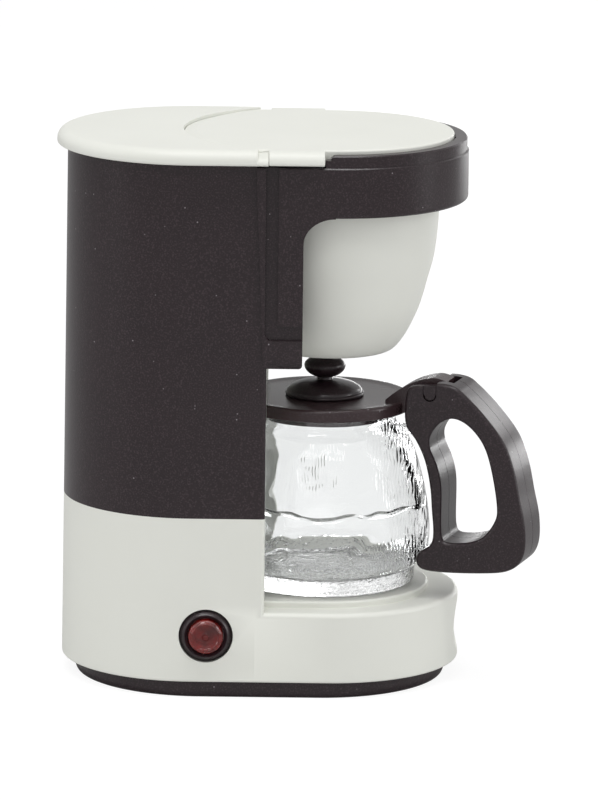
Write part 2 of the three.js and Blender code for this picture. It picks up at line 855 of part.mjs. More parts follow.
// The raised rim round the front of the lid, with a small thumb notch
function rim() {
  const start = coverFrontX + rimStepGap;
  const plan = (inset) => headPlan(ringHalfWidth - rimInset - inset, start, ringCentreX);
  const wall = stack([
    [ringTop - rimInset, plan(0)],
    [rimTop - rimChamfer, plan(0)],
    [rimTop, plan(rimChamfer)],
  ]);
  const inside = lidPlan(lidRearRadius + looseFit, lidHalfWidth + looseFit, lidFrontCentreX);
  const hollow = stack([[ringTop - cutOverrun, inside], [rimTop + cutOverrun, inside]]);
  const reach = ringHalfWidth + cutOverrun;
  const bottom = ringTop - cutOverrun;
  const endCentre = [rimRearX + rimEndRound, rimTop - rimEndRound];
  const endRound = arc(...endCentre, rimEndRound, Math.PI, quarter, cornerSteps);
  const profile = [
    [start, bottom],
    [start, rimStepTop],
    [rimRearX, rimStepTop],
    ...endRound.slice(1),
    [reach, rimTop],
    [reach, bottom],
  ];
  const low = block(
    [lidFrontCentreX + lidHalfWidth - thumbNotchWidth, -thumbNotchWidth / 2, rimTop - thumbNotchDepth],
    [lidFrontCentreX + lidHalfWidth + rimInset, thumbNotchWidth / 2, rimTop + cutOverrun],
  );
  return wall
    .subtract(hollow)
    .intersect(sideExtrusion(profile, -reach, reach))
    .subtract(low.rotate([0, 0, thumbNotchAngle]));
}

// The cup's outline between its floor and its flange, drawn in by a wall thickness
function basketProfile(wall) {
  const rise = basketFlangeBottom - basketBottom;
  const flare = basketRimRadius - basketBottomRadius;
  const curve = basketOutlineShares.map(([out, up]) => [
    basketBottomRadius + out * flare - wall,
    Math.max(basketBottom + up * rise, basketBottom + wall),
  ]);
  const above = curve.filter(([, z]) => z > basketBottom + wall || wall === 0);
  return [[basketBottomRadius - wall, basketBottom + wall], ...above];
}

function filterBasket() {
  const flangeTop = basketFlangeBottom + basketFlangeThickness;
  const outside = [
    [0, basketBottom],
    ...basketProfile(0),
    [basketRimRadius, basketFlangeBottom],
    [basketFlangeRadius, basketFlangeBottom],
    [basketFlangeRadius, flangeTop],
    [0, flangeTop],
  ];
  const inside = [
    [0, basketBottom + basketWall],
    ...basketProfile(basketWall),
    [basketRimRadius - basketWall, flangeTop + cutOverrun],
    [0, flangeTop + cutOverrun],
  ];
  const behind = headBackFrontX() + looseFit;
  const reach = basketFlangeRadius + cutOverrun;
  const [low, high] = [basketBottom - cutOverrun, flangeTop + 2 * cutOverrun];
  const front = (x) => block([x, -reach, low], [reach, reach, high]);
  const cup = turned(frontCentreX, 0, outside).intersect(front(behind));
  const hollow = turned(frontCentreX, 0, inside).intersect(front(behind + basketWall));
  const dripTop = basketBottom + cutOverrun;
  const drip = cylinder(frontCentreX, 0, dripHoleRadius, low, dripTop, smallTurnedSteps);
  return mesh("filter_basket", cup.subtract(hollow).subtract(drip), ivoryPlastic());
}

function tankCover() {
  const half = topHalfWidth + coverOverhang;
  const plan = (inset) => stadiumPlan(half - inset, rearCentreX, frontCentreX);
  const reach = half + cutOverrun;
  const foot = quarterRound(coverFootRound, coverFootRound, 2);
  const head = quarterRound(coverTopRound, coverTopRound).reverse();
  let cover = stack([
    ...foot.map(([inset, rise]) => [columnTop + rise, plan(inset)]),
    ...head.map(([inset, rise]) => [machineHeight - rise, plan(inset)]),
  ]);
  const rearReach = rearCentreX - reach;
  cover = cover.intersect(block([rearReach, -reach, 0], [coverFrontX, reach, machineHeight + cutOverrun]));
  const opening = lidPlan(lidRearRadius + looseFit, lidHalfWidth + looseFit, lidFrontCentreX);
  cover = cover.subtract(stack([[columnTop - cutOverrun, opening], [machineHeight + cutOverrun, opening]]));

  const ribHalf = topHalfWidth - shellWall - looseFit;
  const ribBottom = columnTop - coverRibHeight;
  const ribPlan = (inset) => stadiumPlan(ribHalf - inset, rearCentreX, frontCentreX);
  const rib = stack([[ribBottom, ribPlan(0)], [columnTop + coverRibThickness / 2, ribPlan(0)]])
    .subtract(stack([
      [ribBottom - cutOverrun, ribPlan(coverRibThickness)],
      [columnTop, ribPlan(coverRibThickness)],
    ]))
    .intersect(block([rearReach, -reach, 0], [coverRibFrontX, reach, machineHeight]));
  cover = cover.add(rib);

  const inner = lidHalfWidth + looseFit;
  const boreEnd = inner + lidPinReach + looseFit;
  for (const side of [-1, 1]) {
    const span = (from, to) => [side * from, side * to].sort((a, b) => a - b);
    cover = cover.subtract(
      cylinderAlongY(lidHingeX, lidHingeZ, lidPinRadius + slipFit, ...span(inner - cutOverrun, boreEnd)),
    );
    const [from, to] = span(hingeNotchInner, inner + lidKnuckleLength);
    cover = cover.subtract(block(
      [lidHingeX - hingeNotchRear, from, columnTop - cutOverrun],
      [lidHingeX + hingeNotchFront, to, machineHeight + cutOverrun],
    ));
  }
  return mesh("tank_cover", cover, ivoryPlastic());
}

function frontLid() {
  const plan = (inset) => lidPlan(lidRearRadius - inset, lidHalfWidth - inset, lidFrontCentreX);
  const top = lidBottom + lidThickness;
  let lid = stack([
    [lidBottom, plan(0)],
    ...quarterRound(lidEdge, lidEdge).reverse().map(([inset, rise]) => [top - rise, plan(inset)]),
  ]);
  const under = plan(lidHollowMargin);
  lid = lid.subtract(stack([[lidBottom - cutOverrun, under], [lidBottom + lidHollowDepth, under]]));
  for (const side of [-1, 1]) {
    const span = (from, to) => [side * from, side * to].sort((a, b) => a - b);
    const knuckle = span(lidHalfWidth - lidHollowMargin / 2, lidHalfWidth + lidKnuckleLength);
    const pin = span(lidHalfWidth, lidHalfWidth + lidPinReach);
    lid = lid.add(cylinderAlongY(lidHingeX, lidHingeZ, lidKnuckleRadius, ...knuckle));
    lid = lid.add(cylinderAlongY(lidHingeX, lidHingeZ, lidPinRadius, ...pin));
  }
  return mesh("front_lid", lid, ivoryPlastic());
}

// The pot's own frame: its axis is upright at the origin, and the handle points along +X
function potGroup() {
  const group = new THREE.Group();
  group.position.x = potAxisX;
  group.rotation.z = turnAngle;
  return group;
}

function glassProfiles() {
  const bottom = platformTop + seatFit;
  const rise = potTop - bottom;
  const outside = glassOutlineShares.map(([out, up]) => [out * potMaxRadius, bottom + up * rise]);
  const footTop = bottom + potFootHeight;
  return {
    outer: [
      [0, bottom],
      [potFootRadius, bottom],
      [potFootRadius, footTop],
      ...outside.filter(([, z]) => z > footTop),
      [potNeckRadius, potTop],
    ],
    inner: [
      [0, bottom + glassFloor],
      [potFootRadius - glassWall, bottom + glassFloor],
      ...outside.filter(([, z]) => z > footTop).map(([r, z]) => [r - glassWall, z]),
      [potNeckRadius - glassWall, potTop],
    ],
  };
}

function carafeGlass() {
  const { outer, inner } = glassProfiles();
  const shell = turned(0, 0, [...outer, ...inner.reverse()]);
  const lug = (bottom, top, from, reach) =>
    block([from, -lugThickness / 2, bottom], [reach, lugThickness / 2, top]);
  const upper = lug(upperLugBottom, upperLugTop, potNeckRadius, upperLugReach);
  const lower = lug(lowerLugBottom, lowerLugTop, potMaxRadius - glassWall, lowerLugReach);
  return mesh("carafe_glass", shell.add(upper).add(lower), clearPlastic());
}

function carafeLid() {
  const bevelTop = potLidRimTop + potLidBevel;
  const inner = potLidRadius - potLidBevelInset;
  const domeTop = bevelTop + potLidDome;
  let lid = turned(0, 0, [
    [0, potLidBottom],
    [potLidRadius, potLidBottom],
    [potLidRadius, potLidRimTop],
    [inner, bevelTop],
    [knobFlangeRadius + knobFlangeThickness, domeTop],
    [0, domeTop],
  ]);
  const plugOutside = potNeckRadius - glassWall - looseFit;
  const plugBottom = potLidBottom - potLidPlugDepth;
  lid = lid.add(turned(0, 0, [
    [plugOutside - potLidPlugWall, plugBottom],
    [plugOutside - potLidPlugTaper, plugBottom],
    [plugOutside, potLidBottom],
    [plugOutside, potLidBottom + potLidPlugWall / 2],
    [plugOutside - potLidPlugWall, potLidBottom + potLidPlugWall / 2],
    [plugOutside - potLidPlugWall, plugBottom],
  ]));
  lid = lid.add(tongue());
  const stemHole = knobStemRadius + seatFit;
  const [below, above] = [potLidBottom - cutOverrun, domeTop + cutOverrun];
  lid = lid.subtract(cylinder(0, 0, stemHole, below, above, smallTurnedSteps));
  return mesh("carafe_lid", lid, darkPlastic());
}

// The arm that reaches from the pot lid over the hinge pin
function tongue() {
  const lidTop = potLidRimTop + potLidBevel;
  const rise = tongueShares.map(([out, up]) => new THREE.Vector3(
    tongueRootReach + out * (tonguePeakReach - tongueRootReach),
    lidTop + up * (tonguePeak - lidTop),
    0,
  ));
  const arch = new THREE.CatmullRomCurve3([...rise, new THREE.Vector3(tongueTailReach, tongueTailTop, 0)])
    .getPoints(4 * cornerSteps)
    .map((p) => [p.x, p.y]);
  const half = tongueWidth / 2;
  const under = hingeHeight - tongueBarrelRadius;
  const outline = [
    [tongueRootReach, potLidBottom],
    [handleEarReach, potLidBottom],
    [hingeReach - tongueBarrelRadius, under],
    [hingeReach, under],
    [tongueTailReach, hingeHeight],
    ...arch.reverse(),
  ];
  const pinHole = hingePinRadius + seatFit;
  return sideExtrusion(outline, -half, half)
    .subtract(cylinderAlongY(hingeReach, hingeHeight, pinHole, -tongueWidth, tongueWidth));
}

function lidKnob() {
  const flangeBottom = potLidRimTop + potLidBevel + potLidDome + seatFit;
  const flangeTop = flangeBottom + knobFlangeThickness;
  const neckBottom = flangeTop + knobDome;
  const ballBottom = neckBottom + knobNeckHeight;
  const stemBottom = potLidBottom;
  const dome = arc(0, 0, 1, 0, quarter, 2 * cornerSteps)
    .map(([x, z]) => [x * knobFlangeRadius, flangeTop + z * knobDome])
    .filter(([r]) => r > knobNeckRadius);
  const middle = ballBottom + knobLowerHeight;
  const ball = arc(0, 0, 1, -quarter, quarter, 4 * cornerSteps)
    .map(([x, z]) => [x * knobRadius, middle + z * (z < 0 ? knobLowerHeight : knobUpperHeight)])
    .filter(([r, z]) => r > knobNeckRadius || z > middle);
  const profile = [
    [0, stemBottom],
    [knobStemRadius, stemBottom],
    [knobStemRadius, flangeBottom],
    [knobFlangeRadius, flangeBottom],
    ...dome,
    [knobNeckRadius, neckBottom],
    [knobNeckRadius, ballBottom + knobNeckHeight / 2],
    ...ball,
  ];
  profile[profile.length - 1] = [0, middle + knobUpperHeight];
  return mesh("lid_knob", turned(0, 0, profile, buttonSteps), darkPlastic());
}

function hingePin() {
  const half = handleHalfThickness;
  const edge = hingePinEdge;
  const pin = turnedAlongY(hingeReach, hingeHeight, [
    [0, -half],
    [hingePinRadius - edge, -half],
    [hingePinRadius, edge - half],
    [hingePinRadius, half - edge],
    [hingePinRadius - edge, half],
    [0, half],
  ]);
  return mesh("hinge_pin", pin, darkPlastic());
}

// One half of the handle; side is -1 towards the viewer and 1 away
function handleHalf(name, side) {
  const outline = smoothOutline(handlePoints(handleOutlineShares), handleOutlineSteps);
  const loop = smoothOutline(handlePoints(loopShares), loopSteps);
  const reach = handleHalfThickness;
  const full = sideExtrusion(outline, -reach, reach, handleChamfer);
  const hole = sideExtrusion(loop, -reach - cutOverrun, reach + cutOverrun);
  const far = handleReach + cutOverrun;
  const [from, to] = [side * (handleSeam / 2), side * (reach + cutOverrun)].sort((a, b) => a - b);
  let half = full.subtract(hole).intersect(block([0, from, 0], [far, to, machineHeight]));

  // Slot for the lid's tongue, and the open seat that the pin snaps into
  const slot = earSlotWidth / 2;
  half = half.subtract(block([0, -slot, earSlotBottom], [earSlotReach, slot, machineHeight]));
  const seat = hingePinRadius + pinSlotGap;
  half = half.subtract(cylinderAlongY(hingeReach, hingeHeight, seat, -far, far));
  const mouth = [[hingeReach - seat, -far, hingeHeight], [hingeReach + seat, far, machineHeight]];
  half = half.subtract(block(...mouth));

  // Pockets for the pot's two lugs
  const room = lugThickness / 2 + turnedSeatGap;
  const pocket = (bottom, top, end) =>
    block([0, -room, bottom - turnedSeatGap], [end + turnedSeatGap, room, top + turnedSeatGap]);
  half = half.subtract(pocket(upperLugBottom, upperLugTop, upperLugReach));
  half = half.subtract(pocket(lowerLugBottom, lowerLugTop, lowerLugReach));

  // Dowels on the near half go into holes in the far one
  for (const [x, z] of handlePoints(dowelPlaceShares)) {
    if (side < 0) {
      half = half.add(cylinderAlongY(x, z, dowelRadius, -dowelDepth, dowelDepth));
    } else {
      const [hole, end] = [dowelRadius + slipFit, dowelDepth + looseFit];
      half = half.subtract(cylinderAlongY(x, z, hole, -dowelDepth, end));
    }
  }
  return mesh(name, half, darkPlastic());
}

// Depths of the button's pieces, from the housing's face inwards
function buttonDepths() {
  const face = -halfWidthAt(buttonZ);
  const bezelFront = face - bezelProud;
  const step = bezelFront + bezelFace;
  const bezelBack = bezelFront + bezelLength;
  return {
    face,
    bezelFront,
    bezelBack,
    flangeFront: face + housingWall + bezelFlangeGap,
    step,
    lensFlangeFront: step + seatFit,
    lensFlangeBack: step + seatFit + lensFlangeThickness,
    retainerFront: bezelBack - retainerThickness,
  };
}

function buttonBezel() {
  const d = buttonDepths();
  const bore = lensRadius + looseFit;
  const wide = lensFlangeRadius + looseFit;
  const body = turnedAlongY(buttonX, buttonZ, [
    [bore, d.bezelFront + bezelBevel],
    [bore + bezelBevel, d.bezelFront],
    [bezelRadius - bezelBevel, d.bezelFront + bezelBevel / 2],
    [bezelRadius, d.bezelFront + 2 * bezelBevel],
    [bezelRadius, d.flangeFront],
    [bezelFlangeRadius, d.flangeFront],
    [bezelFlangeRadius, d.flangeFront + bezelFlangeThickness],
    [bezelRadius, d.flangeFront + bezelFlangeThickness],
    [bezelRadius, d.bezelBack],
    [wide, d.bezelBack],
    [wide, d.step],
    [bore, d.step],
    [bore, d.bezelFront + bezelBevel],
  ], buttonSteps);
  return mesh("button_bezel", body, darkPlastic());
}

function buttonLens() {
  const d = buttonDepths();
  const front = d.bezelFront - lensProud;
  const dome = arc(0, 0, 1, quarter, 0, 2 * cornerSteps).map(([x, y]) => [
    x * lensRadius,
    front + lensDome * (1 - y),
  ]);
  dome[0][0] = 0;
  const lens = turnedAlongY(buttonX, buttonZ, [
    ...dome,
    [lensRadius, d.lensFlangeFront],
    [lensFlangeRadius, d.lensFlangeFront],
    [lensFlangeRadius, d.lensFlangeBack],
    [0, d.lensFlangeBack],
  ], buttonSteps);
  return mesh("button_lens", lens, redLens());
}

function buttonSpring() {
  const d = buttonDepths();
  const radius = springWire / 2;
  const from = d.lensFlangeBack + seatFit + radius;
  const to = d.retainerFront - seatFit - radius;
  const steps = springTurns * springStepsPerTurn;
  const points = Array.from({ length: steps + 1 }, (_, i) => {
    const turn = (2 * Math.PI * i) / springStepsPerTurn;
    return new THREE.Vector3(
      buttonX + springRadius * Math.cos(turn),
      from + ((to - from) * i) / steps,
      buttonZ + springRadius * Math.sin(turn),
    );
  });
  const ring = arc(0, 0, radius, 0, 2 * Math.PI, wireSides).slice(1);
  const section = new THREE.Shape(ring.map(([x, y]) => new THREE.Vector2(x, y)));
  const geometry = new THREE.ExtrudeGeometry(section, {
    steps,
    extrudePath: new THREE.CatmullRomCurve3(points),
  });
  return mesh("button_spring", solid(geometry), springSteel());
}

function buttonRetainer() {
  const d = buttonDepths();
  const edge = lensFlangeRadius + looseFit - seatFit;
  const retainer = turnedAlongY(buttonX, buttonZ, [
    [0, d.retainerFront - retainerPegLength],
    [retainerPegRadius, d.retainerFront - retainerPegLength],
    [retainerPegRadius, d.retainerFront],
    [edge, d.retainerFront],
    [edge, d.bezelBack],
    [0, d.bezelBack],
  ], buttonSteps);
  return mesh("button_retainer", retainer, darkPlastic());
}

function baseScrew(name, x, y) {
  const headTop = screwHeadRecess + screwHeadThickness;
  const upTo = (radius, top) => cylinder(x, y, radius, screwHeadRecess, top - seatFit, smallTurnedSteps);
  let screw = upTo(screwHeadRadius, headTop).add(upTo(screwShankRadius, headTop + screwLength));
  const arm = screwHeadRadius - 2 * screwSlotWidth;
  const half = screwSlotWidth / 2;
  const bottom = screwHeadRecess - cutOverrun;
  const top = screwHeadRecess + screwSlotDepth;
  screw = screw.subtract(block([x - arm, y - half, bottom], [x + arm, y + half, top]));
  screw = screw.subtract(block([x - half, y - arm, bottom], [x + half, y + arm, top]));
  return mesh(name, screw, springSteel());
}

const machine = new THREE.Group();
machine.add(basePlate(), lowerHousing(), columnShell(), tankBody(), brewHead(), filterBasket());
machine.add(tankCover(), frontLid());
machine.add(buttonBezel(), buttonLens(), buttonSpring(), buttonRetainer());
screwPlaces.forEach(([x, y], i) => machine.add(baseScrew(`base_screw_${i + 1}`, x, y)));

const pot = potGroup();
pot.add(carafeGlass(), carafeLid(), lidKnob(), hingePin());
pot.add(handleHalf("handle_near_half", -1), handleHalf("handle_far_half", 1));
machine.add(pot);

export default machine;
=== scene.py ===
from functools import partial
from math import asin, cos, pi, radians, sin, sqrt

import bmesh
import bpy
from mathutils import Matrix, Vector


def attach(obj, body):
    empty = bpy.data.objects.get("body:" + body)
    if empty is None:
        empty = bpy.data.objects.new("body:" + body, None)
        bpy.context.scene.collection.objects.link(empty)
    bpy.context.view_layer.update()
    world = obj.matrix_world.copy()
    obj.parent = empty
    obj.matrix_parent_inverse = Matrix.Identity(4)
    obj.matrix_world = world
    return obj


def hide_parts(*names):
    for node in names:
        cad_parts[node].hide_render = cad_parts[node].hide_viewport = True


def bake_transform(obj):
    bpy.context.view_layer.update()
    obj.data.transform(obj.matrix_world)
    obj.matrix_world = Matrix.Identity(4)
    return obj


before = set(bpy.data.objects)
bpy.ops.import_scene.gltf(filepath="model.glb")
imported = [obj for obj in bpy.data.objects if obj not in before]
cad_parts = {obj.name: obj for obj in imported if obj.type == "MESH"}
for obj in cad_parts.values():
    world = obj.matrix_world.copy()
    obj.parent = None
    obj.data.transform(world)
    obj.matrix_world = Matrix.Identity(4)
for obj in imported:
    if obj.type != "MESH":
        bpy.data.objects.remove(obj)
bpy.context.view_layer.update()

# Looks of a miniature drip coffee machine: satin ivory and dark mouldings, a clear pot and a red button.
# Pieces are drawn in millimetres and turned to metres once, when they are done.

MM = 0.001
QUARTER = pi / 2

# Steps in round forms
HALF_ROUND_STEPS = 72
TURNED_STEPS = 144
SMALL_STEPS = 40
EDGE_STEPS = 6

CURVE_STEPS = 60
GLASS_STEPS = 90
TONGUE_STEPS = 40
BUTTON_STEPS = 72
KNOB_STEPS = 96

# Least distances, and the rise of a sudden step
SAME_POINT = 1e-5
SAME_EDGE = 0.004
SAME_PLACE = 1e-9
SHORTEST_SPAN = 1e-4
ON_AXIS = 1e-6
SUDDEN_RISE = 0.01

# Edge rounds, and the angles that count as an edge
MOULD_EDGE = 0.12
FINE_EDGE = 0.07
RIM_EDGE = 0.03
CREASE_ANGLE = radians(32)
EDGE_OF_CUT = radians(60)
BEZEL_CREASE_ANGLE = radians(20)
SMOOTH_ANGLE = radians(38)

# Fits, as in the part
SLIP_FIT = 0.06
LOOSE_FIT = 0.1
SEAT_FIT = 0.05
OVERRUN = 2

# Body
MACHINE_HEIGHT = 60
BASE_HALF_WIDTH = 14.3
TOP_HALF_WIDTH = 13.85
REAR_CENTRE_X = -14.82
FRONT_CENTRE_X = 0
COLUMN_TOP = 58.38
COLUMN_FRONT_X = -6.85
COLUMN_CORNER = 0.45
SEAM_CORNER = 0.08
SHELL_WALL = 1.1
SEAM_STEP_Z = 36.3
SEAM_BOTTOM_X = -7.12
SEAM_TOP_X = -8

# Base plate
PLATE_THICKNESS = 1.8
PLATE_INSET = 0.45
PLATE_END_INSET = 1
PLATE_EDGE_INSET = 0.45
PLATE_EDGE_HEIGHT = 0.85
SCREW_XS = (-20, 5)
SCREW_YS = (-9, 9)
SCREW_ROOM_RADIUS = 1.4
SCREW_ROOM_TOP = 0.85

# Housing
LEDGE_TOP = 9.5
LEDGE_EDGE = 0.55
PLATFORM_TOP = 10.2
PLATFORM_HALF_WIDTH = 11.5
PLATFORM_EDGE = 0.25
HOUSING_TOP = 19.84
HOUSING_FOOT_EDGE = 0.25
SCOOP_DEPTH = 0.65
SCOOP_HEIGHT = 5.9
SCOOP_WIDTH = 15
SCOOP_CENTRE_Z = 5.4
SCOOP_BULGE = 1.55
RECESS_RADIUS = 12.9
SHELF_LAP = 1
BUTTON_HOLE_DEPTH = 1.3
BUTTON_WELL_DEPTH = 5.5
BUTTON_MARGIN = 0.5

# Brew head
RING_CENTRE_X = 0.35
RING_HALF_WIDTH = 14.35
RING_BOTTOM = 52.68
RING_TOP = 58.13
RING_EDGE = 0.45
HEAD_BOTTOM = 36.35
FOOT_STEP_TOP = 36.95
FOOT_STEP_INSET = 0.2
HEAD_BACK_X = -6.11
HEAD_BACK_TOP = 57.2
HEAD_SEAM_LAP = 0.12
CHEEK_FRONT_X = -3.05
CHEEK_FILLET_X = 3.4
CHEEK_FILLET_Z = 2.8
CHEEK_CORNER = 0.4
GROOVE_DEPTH = 0.5
GROOVE_REAR_X = -7.08
GROOVE_FRONT_X = -5.7
GROOVE_BOTTOM = 39.4
GROOVE_TOP = 41
GROOVE_CORNER = 0.8
RIM_INSET = 0.17
RIM_TOP = 59.45
RIM_REAR_X = -0.24
RIM_CHAMFER = 0.12
RIM_END_ROUND = 0.55
RIM_STEP_TOP = 58.95
RIM_STEP_X = -0.76
THUMB_NOTCH_WIDTH = 2.6
THUMB_NOTCH_DEPTH = 0.7
THUMB_NOTCH_ANGLE = radians(-10)

# Filter basket
BASKET_RIM_RADIUS = 11.62
BASKET_BOTTOM = 35.85
BASKET_BOTTOM_RADIUS = 5.6
BASKET_WALL = 0.9
BASKET_ROOM = 0.5
BASKET_FLANGE_RADIUS = 12.85
BASKET_FLANGE_BOTTOM = 56.3
BASKET_FLANGE_TOP = 57.1
BASKET_BACK_X = -6.01
DRIP_HOLE_RADIUS = 0.9
BASKET_OUTLINE_SHARES = [
    (0, 0), (0.16, 0.008), (0.25, 0.026), (0.4, 0.083), (0.53, 0.154), (0.65, 0.235),
    (0.735, 0.315), (0.81, 0.4), (0.905, 0.505), (0.965, 0.64), (1, 0.8), (1, 1),
]

# Tank cover and front lid
COVER_HALF_WIDTH = TOP_HALF_WIDTH + 1.15
COVER_FRONT_X = -0.86
COVER_TOP_ROUND = 1.15
COVER_FOOT_ROUND = 0.25
LID_REAR_X = -16.05
LID_REAR_BOW = 7.9
LID_CRESCENT = 1.1
LID_CRESCENT_DROP = 0.25
LID_HALF_WIDTH = 13
LID_FRONT_CENTRE_X = 0.1
LID_BOTTOM = 58.6
LID_TOP = 59.9
LID_EDGE = 0.35
LID_WALL = 1.3
LID_HOLLOW = 0.5
LID_HINGE_X = -7.9
LID_HINGE_Z = 59.3
KNUCKLE_RADIUS = 0.5
KNUCKLE_LENGTH = 0.4
KNUCKLE_ROOT = 0.65
COVER_END_X = -7.95
COVER_CORNER = 0.22
EAR_TOP = 59.65
EAR_SLOPE = (2.4, 1)
EAR_END_X = -6.85
EAR_LAP = 1
SHOULDER_REAR_X = -6.8
SHOULDER_CORNER = 0.25

# Pot, in its own frame: upright axis, handle along +X
POT_AXIS_X = -0.6
POT_TURN = radians(-18)
POT_MAX_RADIUS = 11.66
POT_FOOT_RADIUS = 10
POT_BOTTOM = 10.25
POT_FOOT_TOP = 12.15
POT_FOOT_TOP_RADIUS = 10.1
POT_FOOT_ROUND = 0.5
FOOT_HOLLOW = 0.25
FOOT_HOLLOW_RADIUS = 8.8
FOOT_RING_RADIUS = 9.1
POT_NECK_RADIUS = 7.75
POT_TOP = 29.55
POT_LIP = 0.3
POT_LIP_FLATNESS = 0.6
GLASS_WALL = 1
GLASS_FLOOR = 1.3
FLOOR_RADIUS = 7.4
FLOOR_EDGE_RADIUS = 8.5
FLOOR_EDGE_RISE = 0.35
GLASS_OUTLINE_SHARES = [
    (0.885, 0.105), (0.955, 0.14), (0.985, 0.18), (1, 0.3), (0.974, 0.457), (0.913, 0.63),
    (0.834, 0.774), (0.757, 0.848), (0.69, 0.897), (0.665, 0.93),
]
LUG_THICKNESS = 1.4
UPPER_LUG = (27, 28.1)
LOWER_LUG = (13, 14.1)
UPPER_LUG_REACH = 11.1
LOWER_LUG_REACH = 13.1

# Pot lid and knob
POT_LID_RADIUS = 9.48
POT_LID_BOTTOM = 29.65
POT_LID_SKIRT = 29.45
POT_LID_RIM_TOP = 30.53
POT_LID_BEVEL = 0.4
POT_LID_ROUND = 0.42
POT_LID_FOOT_ROUND = 0.2
POT_LID_BEAD = 0.75
POT_LID_BEAD_DROP = 0.1
POT_LID_BEAD_FALL = 0.02
POT_LID_DISH = 30.68
POT_LID_DISH_EDGE = [(0.3, 0.06), (0.8, 0)]
PLUG_DEPTH = 1.2
PLUG_WALL = 0.9
PLUG_TAPER = 0.25
KNOB_FLANGE_RADIUS = 4.28
KNOB_FLANGE_BOTTOM = 30.75
KNOB_FLANGE_RIM = 0.32
KNOB_DOME = 1.4
KNOB_NECK_RADIUS = 0.75
KNOB_BALL_BOTTOM = 32.6
KNOB_RIM_STEP = 0.14
KNOB_RADIUS = 2.25
KNOB_LOWER_HEIGHT = 1.38
KNOB_UPPER_HEIGHT = 1.05

# Lid hinge on the handle
HINGE_REACH = 12.9
HINGE_HEIGHT = 32.2
HINGE_PIN_RADIUS = 0.7
PIN_EDGE = 0.22
PIN_KEY_LENGTH = 1.3
PIN_KEY_RISE = 0.95
TONGUE_WIDTH = 3
TONGUE_BARREL_RADIUS = 1.3
TONGUE_ROOT_REACH = 7.4
TONGUE_PEAK = (13, 33.75)
TONGUE_TAIL = (14.35, 33.45)
TONGUE_SHARES = [(0, 0), (0.16, 0.27), (0.43, 0.64), (0.7, 0.875), (1, 1)]

# Handle
HANDLE_HALF_WIDTH = 3.1
HANDLE_SEAM = 0.07
HANDLE_EDGE = 0.4
HANDLE_REACH = 23.82
HANDLE_TOP = 33.5
HANDLE_BOTTOM = 12.7
HANDLE_EAR_REACH = 10.2
HANDLE_OUTLINE_SHARES = [
    (0, 0.93), (0.02, 0.965), (0.08, 0.978), (0.17, 0.985), (0.26, 1), (0.4, 0.988), (0.48, 0.952),
    (0.657, 0.842), (0.82, 0.707), (0.9, 0.575), (0.953, 0.42), (1, 0.27), (0.997, 0.135),
    (0.95, 0.07), (0.858, 0.03), (0.67, 0.008), (0.17, 0), (0.115, 0.02), (0.1, 0.055),
    (0.12, 0.09), (0.225, 0.147), (0.222, 0.343), (0.203, 0.464), (0.156, 0.591), (0.084, 0.687),
    (0, 0.763),
]
LOOP_SHARES = [
    (0.375, 0.816), (0.275, 0.783), (0.202, 0.71), (0.202, 0.655), (0.264, 0.56), (0.3, 0.464),
    (0.312, 0.19), (0.335, 0.163), (0.53, 0.167), (0.655, 0.204), (0.755, 0.303), (0.763, 0.368),
    (0.668, 0.655), (0.575, 0.75), (0.467, 0.804),
]
HANDLE_STEPS = 220
LOOP_STEPS = 150
EAR_SLOT_WIDTH = 3.3
EAR_SLOT_REACH = 15.2
EAR_SLOT_BOTTOM = 28.9

# Button
BUTTON_X = -13.1
BUTTON_Z = 6.92
BEZEL_RADIUS = 2.85
BEZEL_HOLE = 2.93
BEZEL_PROUD = 0.3
BEZEL_BEVEL = 0.35
BEZEL_FACE = 0.9
BEZEL_LENGTH = 4.2
BEZEL_FLANGE_RADIUS = 3.4
BEZEL_FLANGE_DEPTH = 1.5
BEZEL_FLANGE_THICKNESS = 0.7
LENS_RADIUS = 1.87
LENS_PROUD = 0.55
LENS_DOME = 0.5
LENS_FACE_SHARES = [
    (0, 0.1), (0.08, 0.1), (0.15, 0.2), (0.2, 0.5), (0.3, 0.62), (0.5, 0.5), (0.68, 0.2), (0.76, 0),
    (0.8, 0.03), (0.85, 0.3), (0.92, 0.5), (0.98, 0.8), (1, 1),
]
LENS_FLANGE_RADIUS = 2.3
LENS_FLANGE_THICKNESS = 0.56

# Patterns in the plastics: sizes and depths of grain, patches, painted sparkle and dust
COARSE_GRAIN = 0.26
FINE_GRAIN = 0.2
ERODED_DEPTH = 0.014
PIT_SIZE = 0.18
DARK_PATCH = 6
DUST_CELL = 1.1
BLASTED_GRAIN = 0.2
BLASTED_DEPTH = 0.02
IVORY_PATCH = 9
FACET_SIZE = 1.1
FACET_DEPTH = 0.25
PLATING_GRAIN = 0.1
PLATING_DEPTH = 0.01

# Ripples, stipple, swells and the wavy step in the clear pot, in its own frame
RIPPLE_PITCH = 0.33
RIPPLE_HEIGHT = 0.035
RIPPLE_PATCH = 5
RIPPLE_START_X = 4
RIPPLE_FULL_X = 7
PRINT_PLACE = (-0.5, -10, 24.5)
PRINT_RADIUS = 4
PRINT_HEIGHT = 0.03
STIPPLE_SIZE = 0.5
STIPPLE_HEIGHT = 0.12
STIPPLE_FULL_Z = 11.9
STIPPLE_END_Z = 12.4
SWELL_SIZE = 4.5
SWELL_HEIGHT = 0.3
STEP_HEIGHT = 0.14
STEP_LOW_Z = 20.3
STEP_HIGH_Z = 20.65
STEP_START_Y = -2
STEP_FULL_Y = -4
STEP_WANDER = 2

# Camera: its place, aim and roll, in millimetres and degrees
CAMERA_EYE = (-1.246, -714.83, 181.88)
CAMERA_AIM = (-3.33, 0, 30)
CAMERA_ROLL = 0.652
CAMERA_LENS = 301.7
CAMERA_SENSOR = 36
CAMERA_CLIP = (0.01, 20)

